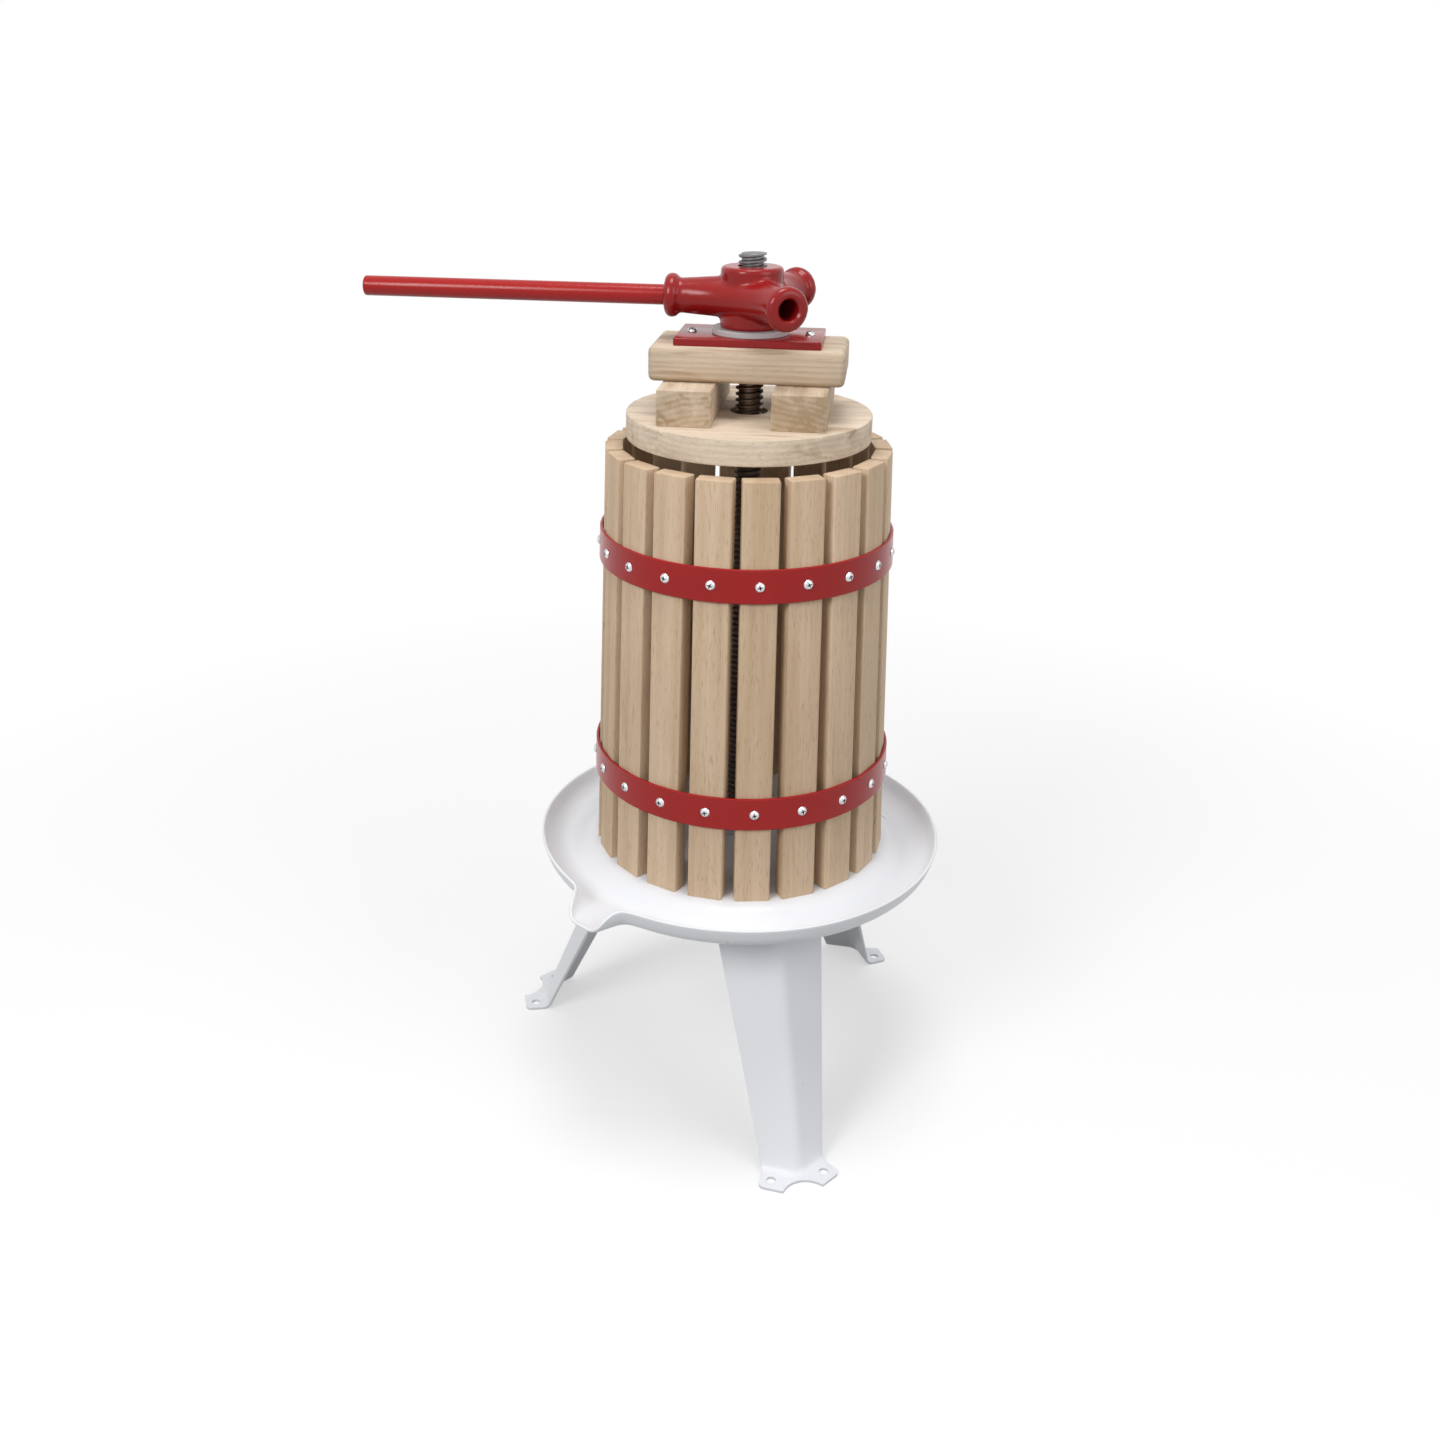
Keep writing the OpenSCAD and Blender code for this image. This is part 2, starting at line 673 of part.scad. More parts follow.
// The handle bar, pushed home in the left socket
module handle_bar() {
    inner = socket_floor + handle_end_gap;
    body_l = handle_reach - inner - 2 * handle_chamfer;
    thin = handle_d - 2 * handle_chamfer;
    color("firebrick") translate([-inner, 0, socket_z]) rotate([0, -90, 0]) {
        cylinder(d1 = thin, d2 = handle_d, h = handle_chamfer);
        translate([0, 0, handle_chamfer]) cylinder(d = handle_d, h = body_l);
        translate([0, 0, handle_chamfer + body_l]) cylinder(d1 = handle_d, d2 = thin, h = handle_chamfer);
    }
}

pan();
leg(leg_angles[0]);  // leg_front
leg(leg_angles[1]);  // leg_left
leg(leg_angles[2]);  // leg_right
leg_bolts();
leg_nuts();
spindle();
base_washer();
base_nut();
lock_nut();
for (i = [0 : slat_count - 1])
    slat(i);
hoop(hoop_low);  // hoop_lower
hoop(hoop_high);  // hoop_upper
hoop_screws(hoop_low);  // hoop_screws_lower
hoop_screws(hoop_high);  // hoop_screws_upper
disc_half(180);  // disc_half_front
disc_half(0);  // disc_half_back
block(-1);  // block_left
block(1);  // block_right
beam();
base_plate();
plate_screws();
thrust_washer();
head_hub();
handle_bar();
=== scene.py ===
import math
import random

import bmesh
import bpy
from mathutils import Matrix, Vector


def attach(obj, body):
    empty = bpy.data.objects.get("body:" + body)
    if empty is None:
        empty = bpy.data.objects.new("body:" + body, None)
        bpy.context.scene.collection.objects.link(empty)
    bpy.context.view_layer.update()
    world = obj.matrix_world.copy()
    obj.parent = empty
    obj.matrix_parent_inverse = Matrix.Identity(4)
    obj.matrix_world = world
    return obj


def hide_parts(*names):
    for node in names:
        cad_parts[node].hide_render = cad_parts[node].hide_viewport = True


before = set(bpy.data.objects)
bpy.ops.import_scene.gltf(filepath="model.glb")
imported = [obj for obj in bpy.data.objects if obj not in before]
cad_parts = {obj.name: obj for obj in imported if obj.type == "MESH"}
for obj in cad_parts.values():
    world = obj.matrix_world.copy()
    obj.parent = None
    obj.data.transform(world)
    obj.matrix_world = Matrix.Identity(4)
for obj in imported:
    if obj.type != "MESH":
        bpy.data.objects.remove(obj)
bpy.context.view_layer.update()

# Legs
# Three legs pressed from 2 mm sheet steel: two shallow faces about a round ridge, two ears bent out
# at the foot with a notch between them, and a plate across the top, enamelled white and bolted on.

MM = 0.001
LEG_TURN = {"leg_front": 22, "leg_left": -102, "leg_right": 146}
LEG_TOP_R = 87 * MM
LEG_FOOT_R = 158 * MM
LEG_HEIGHT = 176 * MM
LEG_TOP_FACE = 46 * MM
LEG_FOOT_FACE = 23.5 * MM
LEG_FACE_FALL = math.radians(28)
LEG_RIDGE_R = 12 * MM
LEG_SHEET = 2 * MM
EAR_WIDTH = 15.5 * MM
EAR_CORNER = 4 * MM
EAR_HOLE_R = 3.25 * MM
EAR_HOLE_OFFSET = 18.3 * MM
EAR_BEND = 4.5 * MM
NOTCH_R = 16.5 * MM
NOTCH_LAND = 3 * MM
LEG_EDGE_ROUND = 0.5 * MM
TOP_PLATE_SIDE_INSET = 2 * LEG_SHEET
TOP_PLATE_TIP_INSET = 2.4 * LEG_SHEET
CUT_EDGE_ANGLE = math.radians(50)
PEEL_DEPTH = 0.2 * MM
WHITE_ENAMEL = (0.83, 0.845, 0.88, 1)


def put(tree, kind, inputs=None, **settings):
    """Adds a node, sets its properties, and fills or links its inputs."""
    made = tree.nodes.new(kind)
    for name, value in settings.items():
        setattr(made, name, value)
    for name, value in (inputs or {}).items():
        if isinstance(value, bpy.types.NodeSocket):
            tree.links.new(value, made.inputs[name])
        else:
            made.inputs[name].default_value = value
    return made


def node_group(name, inputs, outputs):
    """An empty shader node group with the named sockets, and its input and output nodes."""
    tree = bpy.data.node_groups.new(name, "ShaderNodeTree")
    for socket, kind in inputs:
        tree.interface.new_socket(socket, in_out="INPUT", socket_type=kind)
    for socket, kind in outputs:
        tree.interface.new_socket(socket, in_out="OUTPUT", socket_type=kind)
    given = tree.nodes.new("NodeGroupInput").outputs
    result = tree.nodes.new("NodeGroupOutput").inputs
    return tree, given, result


def blank_material(name):
    """A new material with only a Principled BSDF joined to its output."""
    material = bpy.data.materials.new(name)
    material.use_nodes = True
    tree = material.node_tree
    tree.nodes.clear()
    shader = tree.nodes.new("ShaderNodeBsdfPrincipled")
    out = tree.nodes.new("ShaderNodeOutputMaterial")
    tree.links.new(shader.outputs["BSDF"], out.inputs["Surface"])
    return material, tree, shader


enamel_skin, given, result = node_group(
    "enamel skin",
    [("Coordinates", "NodeSocketVector"), ("Colour", "NodeSocketColor"), ("Mottle", "NodeSocketFloat"),
     ("Gloss", "NodeSocketFloat")],
    [("Colour", "NodeSocketColor"), ("Roughness", "NodeSocketFloat"), ("Height", "NodeSocketFloat")])
flow = put(enamel_skin, "ShaderNodeTexNoise",
           {"Vector": given["Coordinates"], "Scale": 26.0, "Detail": 3.0})
peel = put(enamel_skin, "ShaderNodeTexNoise",
           {"Vector": given["Coordinates"], "Scale": 420.0, "Detail": 1.0})
shift = put(enamel_skin, "ShaderNodeMath", {0: flow.outputs["Fac"], 1: 0.5}, operation="SUBTRACT")
depth = put(enamel_skin, "ShaderNodeMath", {0: shift.outputs[0], 1: given["Mottle"]},
            operation="MULTIPLY")
value = put(enamel_skin, "ShaderNodeMath", {0: depth.outputs[0], 1: 1.0}, operation="ADD")
tinted = put(enamel_skin, "ShaderNodeHueSaturation",
             {"Color": given["Colour"], "Value": value.outputs[0]})
spread = put(enamel_skin, "ShaderNodeMath", {0: shift.outputs[0], 1: 0.12}, operation="MULTIPLY")
rough = put(enamel_skin, "ShaderNodeMath", {0: spread.outputs[0], 1: given["Gloss"]},
            operation="ADD")
enamel_skin.links.new(tinted.outputs["Color"], result["Colour"])
enamel_skin.links.new(rough.outputs[0], result["Roughness"])
enamel_skin.links.new(peel.outputs["Fac"], result["Height"])


def enamel(name, colour, mottle, gloss, peel_strength, shine):
    """Stoved enamel: a mottled colour with a gloss and a fine orange peel."""
    material, tree, shader = blank_material(name)
    where = put(tree, "ShaderNodeTexCoord")
    skin = put(tree, "ShaderNodeGroup", node_tree=enamel_skin)
    tree.links.new(where.outputs["Object"], skin.inputs["Coordinates"])
    skin.inputs["Colour"].default_value = colour
    skin.inputs["Mottle"].default_value = mottle
    skin.inputs["Gloss"].default_value = gloss
    bump = put(tree, "ShaderNodeBump",
               {"Height": skin.outputs["Height"], "Strength": peel_strength, "Distance": PEEL_DEPTH})
    tree.links.new(skin.outputs["Colour"], shader.inputs["Base Color"])
    tree.links.new(skin.outputs["Roughness"], shader.inputs["Roughness"])
    tree.links.new(bump.outputs["Normal"], shader.inputs["Normal"])
    shader.inputs["Specular IOR Level"].default_value = shine
    return material


def place(bm, name, body, material, nodes=(), sharp=35):
    """Makes the finished mesh a piece that rides on a body and stands for CAD nodes."""
    for face in bm.faces:
        face.smooth = True
    for edge in bm.edges:
        if len(edge.link_faces) == 2 and edge.calc_face_angle() > math.radians(sharp):
            edge.smooth = False
    mesh = bpy.data.meshes.new(name)
    bm.to_mesh(mesh)
    bm.free()
    mesh.materials.append(material)
    piece = bpy.data.objects.new(name, mesh)
    bpy.context.scene.collection.objects.link(piece)
    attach(piece, body)
    if nodes:
        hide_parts(*nodes)
    return piece


def thicken(piece, sheet, edge_round):
    """Gives a sheet its thickness behind its face and rounds its cut edges."""
    wall = piece.modifiers.new("sheet", "SOLIDIFY")
    wall.thickness = sheet
    wall.offset = -1
    soften = piece.modifiers.new("edges", "BEVEL")
    soften.width = edge_round
    soften.segments = 2
    soften.limit_method = "ANGLE"
    soften.angle_limit = CUT_EDGE_ANGLE


def azimuth(degrees):
    """Turns a shape that points along +X to an azimuth counted from -Y towards +X."""
    return Matrix.Rotation(math.radians(degrees - 90), 4, "Z")


LEG_TILT = math.atan((LEG_FOOT_R - LEG_TOP_R) / LEG_HEIGHT)
BEND_SLOPE = math.tan(LEG_FACE_FALL) / math.cos(LEG_TILT)
BEND_ANGLE = math.atan(BEND_SLOPE)
EAR_REACH = EAR_WIDTH / math.cos(BEND_ANGLE)
EAR_HOLE_X = LEG_FOOT_R + EAR_REACH / 2 - EAR_HOLE_OFFSET * BEND_SLOPE
NOTCH_COSINE = (NOTCH_LAND + NOTCH_R - EAR_REACH) * math.cos(BEND_ANGLE) / NOTCH_R
NOTCH_SWEEP = math.acos(NOTCH_COSINE) - BEND_ANGLE
NOTCH_SHARE = 0.4
EDGE_SHARE = 0.7
COLUMN_CROWD = 1.3
BEND_LIMIT = 0.6
FACE_ABOVE_BEND = 0.1
LEG_COLUMNS = 60
EAR_ROWS = 14
BEND_ROWS = 6
FACE_ROWS = 16


def leg_face_point(across, z):
    """A point on the outside of a leg's faces; across runs from -1 to 1 over the ridge."""
    up = z / LEG_HEIGHT
    y = across * (LEG_FOOT_FACE + (LEG_TOP_FACE - LEG_FOOT_FACE) * up) * math.cos(LEG_FACE_FALL)
    drop = abs(y) * math.tan(LEG_FACE_FALL)
    if abs(y) < LEG_RIDGE_R * math.sin(LEG_FACE_FALL):
        drop = LEG_RIDGE_R / math.cos(LEG_FACE_FALL) - math.sqrt(LEG_RIDGE_R ** 2 - y ** 2)
    ridge = LEG_FOOT_R + (LEG_TOP_R - LEG_FOOT_R) * up
    return Vector((ridge - drop / math.cos(LEG_TILT), y, z))


def ear_rim(column):
    """A point on the rim of the ears: the notch, then a straight edge and a round corner."""
    share = abs(column)
    out = Vector((math.cos(BEND_ANGLE), math.sin(BEND_ANGLE), 0))
    along = Vector((-math.sin(BEND_ANGLE), math.cos(BEND_ANGLE), 0))
    half = LEG_FOOT_FACE * math.cos(LEG_FACE_FALL)
    bend_end = Vector((LEG_FOOT_R - half * BEND_SLOPE, half, LEG_SHEET))
    corner = bend_end + (EAR_WIDTH - EAR_CORNER) * out - EAR_CORNER * along
    notch_centre = Vector((LEG_FOOT_R + NOTCH_LAND + NOTCH_R, 0, LEG_SHEET))
    if share < EDGE_SHARE:
        sweep = NOTCH_SWEEP * min(1, share / NOTCH_SHARE)
        point = notch_centre + NOTCH_R * Vector((-math.cos(sweep), math.sin(sweep), 0))
        on_edge = max(0, share - NOTCH_SHARE) / (EDGE_SHARE - NOTCH_SHARE)
        point = point.lerp(corner + EAR_CORNER * out, on_edge)
    else:
        sweep = (share - EDGE_SHARE) / (1 - EDGE_SHARE) * math.pi / 2
        point = corner + EAR_CORNER * (math.cos(sweep) * out + math.sin(sweep) * along)
    point.y = math.copysign(point.y, column)
    return point


def leg_point(column, row):
    """Follows a leg's sheet from the rim of an ear, round the bend and up the face."""
    across = math.copysign(abs(column) ** COLUMN_CROWD, column)
    corner = leg_face_point(across, LEG_SHEET)
    rim = ear_rim(column)
    bend = min(EAR_BEND, BEND_LIMIT * (rim - corner).length)
    on_ear = corner + (rim - corner).normalized() * bend
    on_face = corner + (leg_face_point(across, FACE_ABOVE_BEND) - corner).normalized() * bend
    if row < EAR_ROWS:
        return rim.lerp(on_ear, row / EAR_ROWS)
    if row <= EAR_ROWS + BEND_ROWS:
        t = (row - EAR_ROWS) / BEND_ROWS
        return on_ear.lerp(corner, t).lerp(corner.lerp(on_face, t), t)
    t = (row - EAR_ROWS - BEND_ROWS) / FACE_ROWS
    return leg_face_point(across, on_face.z + (LEG_HEIGHT - on_face.z) * t)


white_enamel = enamel("white enamel", WHITE_ENAMEL, mottle=0.02, gloss=0.3, peel_strength=0.12,
                      shine=0.4)
for node, turn in LEG_TURN.items():
    bm = bmesh.new()
    rows = EAR_ROWS + BEND_ROWS + FACE_ROWS
    bmesh.ops.create_grid(bm, x_segments=LEG_COLUMNS, y_segments=rows, size=1)
    for v in bm.verts:
        v.co = leg_point(v.co.x, round((v.co.y + 1) / 2 * rows))
    for side in (-1, 1):
        hole = Vector((EAR_HOLE_X, side * EAR_HOLE_OFFSET, LEG_SHEET))
        gone = [f for f in bm.faces if (f.calc_center_median() - hole).length < EAR_HOLE_R]
        rim = {v for f in gone for v in f.verts}
        bmesh.ops.delete(bm, geom=gone, context="FACES")
        for v in rim:
            if v.is_valid:
                v.co = hole + (v.co - hole).normalized() * EAR_HOLE_R
    top = max(bm.faces, key=lambda f: f.calc_center_median().z)
    if top.normal.x < 0:
        bmesh.ops.reverse_faces(bm, faces=bm.faces[:])
    bmesh.ops.transform(bm, matrix=azimuth(turn), verts=bm.verts[:])
    leg = place(bm, node + "_sheet", "base", white_enamel, [node], sharp=60)
    thicken(leg, LEG_SHEET, LEG_EDGE_ROUND)

    bm = bmesh.new()
    side = LEG_TOP_FACE * math.cos(LEG_FACE_FALL) - TOP_PLATE_SIDE_INSET
    tip = LEG_TOP_R - TOP_PLATE_TIP_INSET
    back = tip - side * BEND_SLOPE
    plate = bm.faces.new([bm.verts.new((x, y, LEG_HEIGHT - LEG_SHEET))
                          for x, y in ((tip, 0), (back, side), (back, -side))])
    lifted = bmesh.ops.extrude_face_region(bm, geom=[plate])
    bmesh.ops.translate(bm, vec=(0, 0, LEG_SHEET),
                        verts=[g for g in lifted["geom"] if isinstance(g, bmesh.types.BMVert)])
    bmesh.ops.recalc_face_normals(bm, faces=bm.faces[:])
    bmesh.ops.transform(bm, matrix=azimuth(turn), verts=bm.verts[:])
    place(bm, node + "_top_plate", "base", white_enamel)

# Pan
# One piece of sheet steel, drawn to a raised floor, a juice gutter and a steep wall, and enamelled
# white. The pouring spout is drawn out of the wall, and the slats stand on the floor.

PAN_SEAT = 178 * MM
PAN_SHEET = 2 * MM
PAN_HOLE_R = 9.3 * MM
PAN_FLAT_R = 98 * MM
PAN_BEND_R = 18 * MM
PAN_GUTTER_R = 13 * MM
PAN_WALL = math.radians(72)
PAN_RIM_R = 141 * MM
PAN_RIM_Z = 181 * MM
PAN_GUTTER_Z = 165.5 * MM
SPOUT_TURN = -34.5
SPOUT_REACH = 17 * MM
SPOUT_HALF_ANGLE = math.radians(6.4)
SPOUT_DIP = 13 * MM
SPOUT_STEEPNESS = 6
SPOUT_FLARE = 1.3
SPOUT_DIP_STEEPNESS = 2.5
SPOUT_CROWD = 0.86
PAN_EDGE_ROUND = 0.8 * MM
PAN_FLOOR_RINGS = (PAN_HOLE_R / MM, 20, 40, 60, 75, 88)
PAN_BEND_STEPS = 24
PAN_GUTTER_STEPS = 16
PAN_STEPS = 320

wall_rise = PAN_RIM_Z - PAN_GUTTER_Z - PAN_GUTTER_R * (1 - math.cos(PAN_WALL))
wall_run = wall_rise / math.tan(PAN_WALL)
rim_inside = PAN_RIM_R - PAN_SHEET / math.sin(PAN_WALL)
gutter_r = rim_inside - wall_run - PAN_GUTTER_R * math.sin(PAN_WALL)
bend_centre = Vector((PAN_FLAT_R, PAN_SEAT - PAN_BEND_R))
gutter_centre = Vector((gutter_r, PAN_GUTTER_Z + PAN_GUTTER_R))
gap = gutter_centre - bend_centre
fall = math.atan2(gap.x, gap.y) - math.acos((PAN_BEND_R + PAN_GUTTER_R) / gap.length)


def arc(centre, r, start, end, steps):
    """Points along an arc in the plane of a turned profile."""
    angles = [start + (end - start) * i / steps for i in range(steps + 1)]
    return [Vector((centre[0] + r * math.cos(a), centre[1] + r * math.sin(a))) for a in angles]


def turned(bm, profile, steps, angle=2 * math.pi):
    """Spins a profile of radius and height about the vertical axis."""
    ring = [bm.verts.new((p[0], 0, p[1])) for p in profile]
    edges = [bm.edges.new(pair) for pair in zip(ring, ring[1:])]
    bmesh.ops.spin(bm, geom=ring + edges, cent=(0, 0, 0), axis=(0, 0, 1), dvec=(0, 0, 0),
                   angle=angle, steps=steps, use_merge=angle == 2 * math.pi, use_duplicate=False)


pan_profile = [Vector((r * MM, PAN_SEAT)) for r in PAN_FLOOR_RINGS]
pan_profile += arc(bend_centre, PAN_BEND_R, math.pi / 2, math.pi / 2 - fall, PAN_BEND_STEPS)
pan_profile += arc(gutter_centre, PAN_GUTTER_R, 1.5 * math.pi - fall, 1.5 * math.pi + PAN_WALL,
                   PAN_GUTTER_STEPS)
wall_foot = pan_profile[-1]
pan_profile += [wall_foot.lerp(Vector((rim_inside, PAN_RIM_Z)), t) for t in (0.5, 1)]


def spout_pull(turn):
    """How far the wall is drawn out, from 0 to 1, at an angle from the spout's middle."""
    return 1 / (1 + (abs(turn) / SPOUT_HALF_ANGLE) ** SPOUT_STEEPNESS)


bm = bmesh.new()
turned(bm, pan_profile, PAN_STEPS)
for v in bm.verts:
    turn = math.atan2(v.co.y, v.co.x)
    turn -= SPOUT_CROWD * math.sin(turn)
    r, z = math.hypot(v.co.x, v.co.y), v.co.z
    if r > gutter_r:
        along = min(1, (r - gutter_r) / (wall_foot.x - gutter_r))
        pull = spout_pull(turn)
        r += SPOUT_REACH * pull * along ** SPOUT_FLARE
        rise = (z - PAN_GUTTER_Z) / (PAN_RIM_Z - PAN_GUTTER_Z)
        z -= SPOUT_DIP * pull ** SPOUT_DIP_STEEPNESS * max(0, rise)
    v.co = (r * math.cos(turn), r * math.sin(turn), z)
bmesh.ops.recalc_face_normals(bm, faces=bm.faces[:])
if min(bm.faces, key=lambda f: f.calc_center_median().xy.length).normal.z < 0:
    bmesh.ops.reverse_faces(bm, faces=bm.faces[:])
bmesh.ops.transform(bm, matrix=azimuth(SPOUT_TURN), verts=bm.verts[:])
pan = place(bm, "pan_sheet", "base", white_enamel, ["pan"], sharp=60)
thicken(pan, PAN_SHEET, PAN_EDGE_ROUND)

# Fixings under the pan
# Six domed bolts hold the legs through the pan's floor, with nuts below. The spindle is held by a
# broad washer and a nut under the pan and a lock nut on it. All are bright zinc-plated steel.

BOLT_X = 70 * MM
BOLT_Y = 12 * MM
NUT_CHAMFER = 0.12
NUT_CHAMFER_RISE = 0.1
NUT_STEPS = 48
LEG_NUT_FLATS = 10 * MM
LEG_NUT_HOLE_R = 3.05 * MM
LEG_NUT_LOW = 169 * MM
LEG_NUT_HIGH = 174 * MM
SPINDLE_NUT_FLATS = 27 * MM
SPINDLE_NUT_HOLE_R = 9.1 * MM
SPINDLE_NUTS = {"base_nut": (157 * MM, 171 * MM), "lock_nut": (178 * MM, 186 * MM)}
WELD = 1e-6
ZINC = (0.66, 0.67, 0.69, 1)

zinc_skin, given, result = node_group(
    "zinc skin", [("Coordinates", "NodeSocketVector"), ("Colour", "NodeSocketColor")],
    [("Colour", "NodeSocketColor"), ("Roughness", "NodeSocketFloat"), ("Height", "NodeSocketFloat")])
spangle = put(zinc_skin, "ShaderNodeTexNoise",
              {"Vector": given["Coordinates"], "Scale": 160.0, "Detail": 4.0})
scratch = put(zinc_skin, "ShaderNodeTexNoise",
              {"Vector": given["Coordinates"], "Scale": 900.0, "Detail": 2.0})
tone = put(zinc_skin, "ShaderNodeMapRange",
           {"Value": spangle.outputs["Fac"], "To Min": 0.85, "To Max": 1.12})
plated = put(zinc_skin, "ShaderNodeHueSaturation",
             {"Color": given["Colour"], "Value": tone.outputs["Result"]})
dull = put(zinc_skin, "ShaderNodeMapRange",
           {"Value": spangle.outputs["Fac"], "To Min": 0.2, "To Max": 0.42})
zinc_skin.links.new(plated.outputs["Color"], result["Colour"])
zinc_skin.links.new(dull.outputs["Result"], result["Roughness"])
zinc_skin.links.new(scratch.outputs["Fac"], result["Height"])


def plated_metal(name, colour):
    """Bare or plated metal with a faint spangle and fine scratches."""
    material, tree, shader = blank_material(name)
    where = put(tree, "ShaderNodeTexCoord")
    skin = put(tree, "ShaderNodeGroup", node_tree=zinc_skin)
    tree.links.new(where.outputs["Object"], skin.inputs["Coordinates"])
    skin.inputs["Colour"].default_value = colour
    bump = put(tree, "ShaderNodeBump",
               {"Height": skin.outputs["Height"], "Strength": 0.15, "Distance": 0.1 * MM})
    tree.links.new(skin.outputs["Colour"], shader.inputs["Base Color"])
    tree.links.new(skin.outputs["Roughness"], shader.inputs["Roughness"])
    tree.links.new(bump.outputs["Normal"], shader.inputs["Normal"])
    shader.inputs["Metallic"].default_value = 1.0
    return material


zinc = plated_metal("zinc plate", ZINC)


def merge_into(bm, fresh):
    """Moves a finished mesh into another one."""
    made = bpy.data.meshes.new("merged")
    fresh.to_mesh(made)
    fresh.free()
    bm.from_mesh(made)
    bpy.data.meshes.remove(made)


def hex_nut(bm, flats, low, high, hole_r, centre=(0, 0)):
    """A hexagonal nut with chamfered corners and an open thread hole."""
    fresh = bmesh.new()
    corner_r = flats / 2 / math.cos(math.radians(30))
    end_r = corner_r * (1 - NUT_CHAMFER)
    rise = NUT_CHAMFER_RISE * (high - low)
    levels = ((end_r, low), (corner_r, low + rise), (corner_r, high - rise), (end_r, high),
              (hole_r, high), (hole_r, low))
    turned(fresh, levels + levels[:1], NUT_STEPS)
    for v in fresh.verts:
        r = v.co.xy.length
        turn = math.atan2(v.co.y, v.co.x) % math.radians(60) - math.radians(30)
        flat = flats / 2 / math.cos(turn)
        if r > flat:
            v.co.x *= flat / r
            v.co.y *= flat / r
    bmesh.ops.remove_doubles(fresh, verts=fresh.verts[:], dist=WELD)
    bmesh.ops.recalc_face_normals(fresh, faces=fresh.faces[:])
    bmesh.ops.translate(fresh, vec=(centre[0], centre[1], 0), verts=fresh.verts[:])
    merge_into(bm, fresh)


bm = bmesh.new()
for turn in LEG_TURN.values():
    for y in (-BOLT_Y, BOLT_Y):
        spot = azimuth(turn) @ Vector((BOLT_X, y, 0))
        hex_nut(bm, LEG_NUT_FLATS, LEG_NUT_LOW, LEG_NUT_HIGH, LEG_NUT_HOLE_R, spot)
place(bm, "leg_nuts_zinc", "base", zinc, ["leg_nuts"])
for node, (low, high) in SPINDLE_NUTS.items():
    bm = bmesh.new()
    hex_nut(bm, SPINDLE_NUT_FLATS, low, high, SPINDLE_NUT_HOLE_R)
    place(bm, node + "_zinc", "base", zinc, [node])
for node in ("leg_bolts", "base_washer"):
    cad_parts[node].data.materials.clear()
    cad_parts[node].data.materials.append(zinc)

# Spindle
# A fixed steel bar with a coarse trapezoid thread cut along it, coloured dark brown-black where the
# press works and paler grey at its top end. It stands in the pan and the head climbs on it.

SPINDLE_R = 9 * MM
THREAD_ROOT_R = 7.0 * MM
THREAD_PITCH = 4 * MM
THREAD_EASE_R = 8.7 * MM
THREAD_STEPS = 28
THREAD_WELD = 1e-5
SPINDLE_LOW = 153 * MM
SPINDLE_TOP = 583.5 * MM
# Heights in metres over which the colour turns from the darker low colour to the paler top colour.
TOP_COLOUR_FROM = 0.53
TOP_COLOUR_FULL = 0.57
LOW_DARK = (0.09, 0.065, 0.05, 1)
LOW_PALE = (0.2, 0.155, 0.125, 1)
TOP_DARK = (0.13, 0.125, 0.13, 1)
TOP_PALE = (0.25, 0.245, 0.25, 1)

steel, tree, shader = blank_material("steel darker below")
where = put(tree, "ShaderNodeTexCoord")
axes = put(tree, "ShaderNodeSeparateXYZ", {"Vector": where.outputs["Object"]})
patchy = put(tree, "ShaderNodeTexNoise",
             {"Vector": where.outputs["Object"], "Scale": 90.0, "Detail": 4.0})
# Darker below a height and paler grey above it.
toward_top = put(tree, "ShaderNodeMapRange",
             {"Value": axes.outputs["Z"], "From Min": TOP_COLOUR_FROM, "From Max": TOP_COLOUR_FULL})
cut = put(tree, "ShaderNodeMixRGB",
          {"Fac": patchy.outputs["Fac"], "Color1": LOW_DARK, "Color2": LOW_PALE})
bright = put(tree, "ShaderNodeMixRGB",
             {"Fac": patchy.outputs["Fac"], "Color1": TOP_DARK, "Color2": TOP_PALE})
shade = put(tree, "ShaderNodeMixRGB",
            {"Fac": toward_top.outputs["Result"], "Color1": cut.outputs["Color"],
             "Color2": bright.outputs["Color"]})
film = put(tree, "ShaderNodeMapRange",
           {"Value": patchy.outputs["Fac"], "To Min": 0.25, "To Max": 0.5})
tree.links.new(shade.outputs["Color"], shader.inputs["Base Color"])
tree.links.new(film.outputs["Result"], shader.inputs["Roughness"])
shader.inputs["Metallic"].default_value = 0.85

bm = bmesh.new()
turns = math.ceil((SPINDLE_TOP - SPINDLE_LOW) / THREAD_PITCH) + 2
thread = [(THREAD_ROOT_R, 0), (THREAD_ROOT_R, 1.2 * MM), (THREAD_EASE_R, 1.85 * MM),
          (SPINDLE_R, 2.1 * MM), (SPINDLE_R, 3.1 * MM), (THREAD_EASE_R, 3.35 * MM),
          (THREAD_ROOT_R, THREAD_PITCH)]
ring = [bm.verts.new((r, 0, z + SPINDLE_LOW - THREAD_PITCH)) for r, z in thread]
edges = [bm.edges.new(pair) for pair in zip(ring, ring[1:])]
bmesh.ops.spin(bm, geom=ring + edges, cent=(0, 0, 0), axis=(0, 0, 1), angle=2 * math.pi * turns,
               dvec=(0, 0, THREAD_PITCH / THREAD_STEPS), steps=THREAD_STEPS * turns,
               use_duplicate=False)
bmesh.ops.remove_doubles(bm, verts=bm.verts[:], dist=THREAD_WELD)


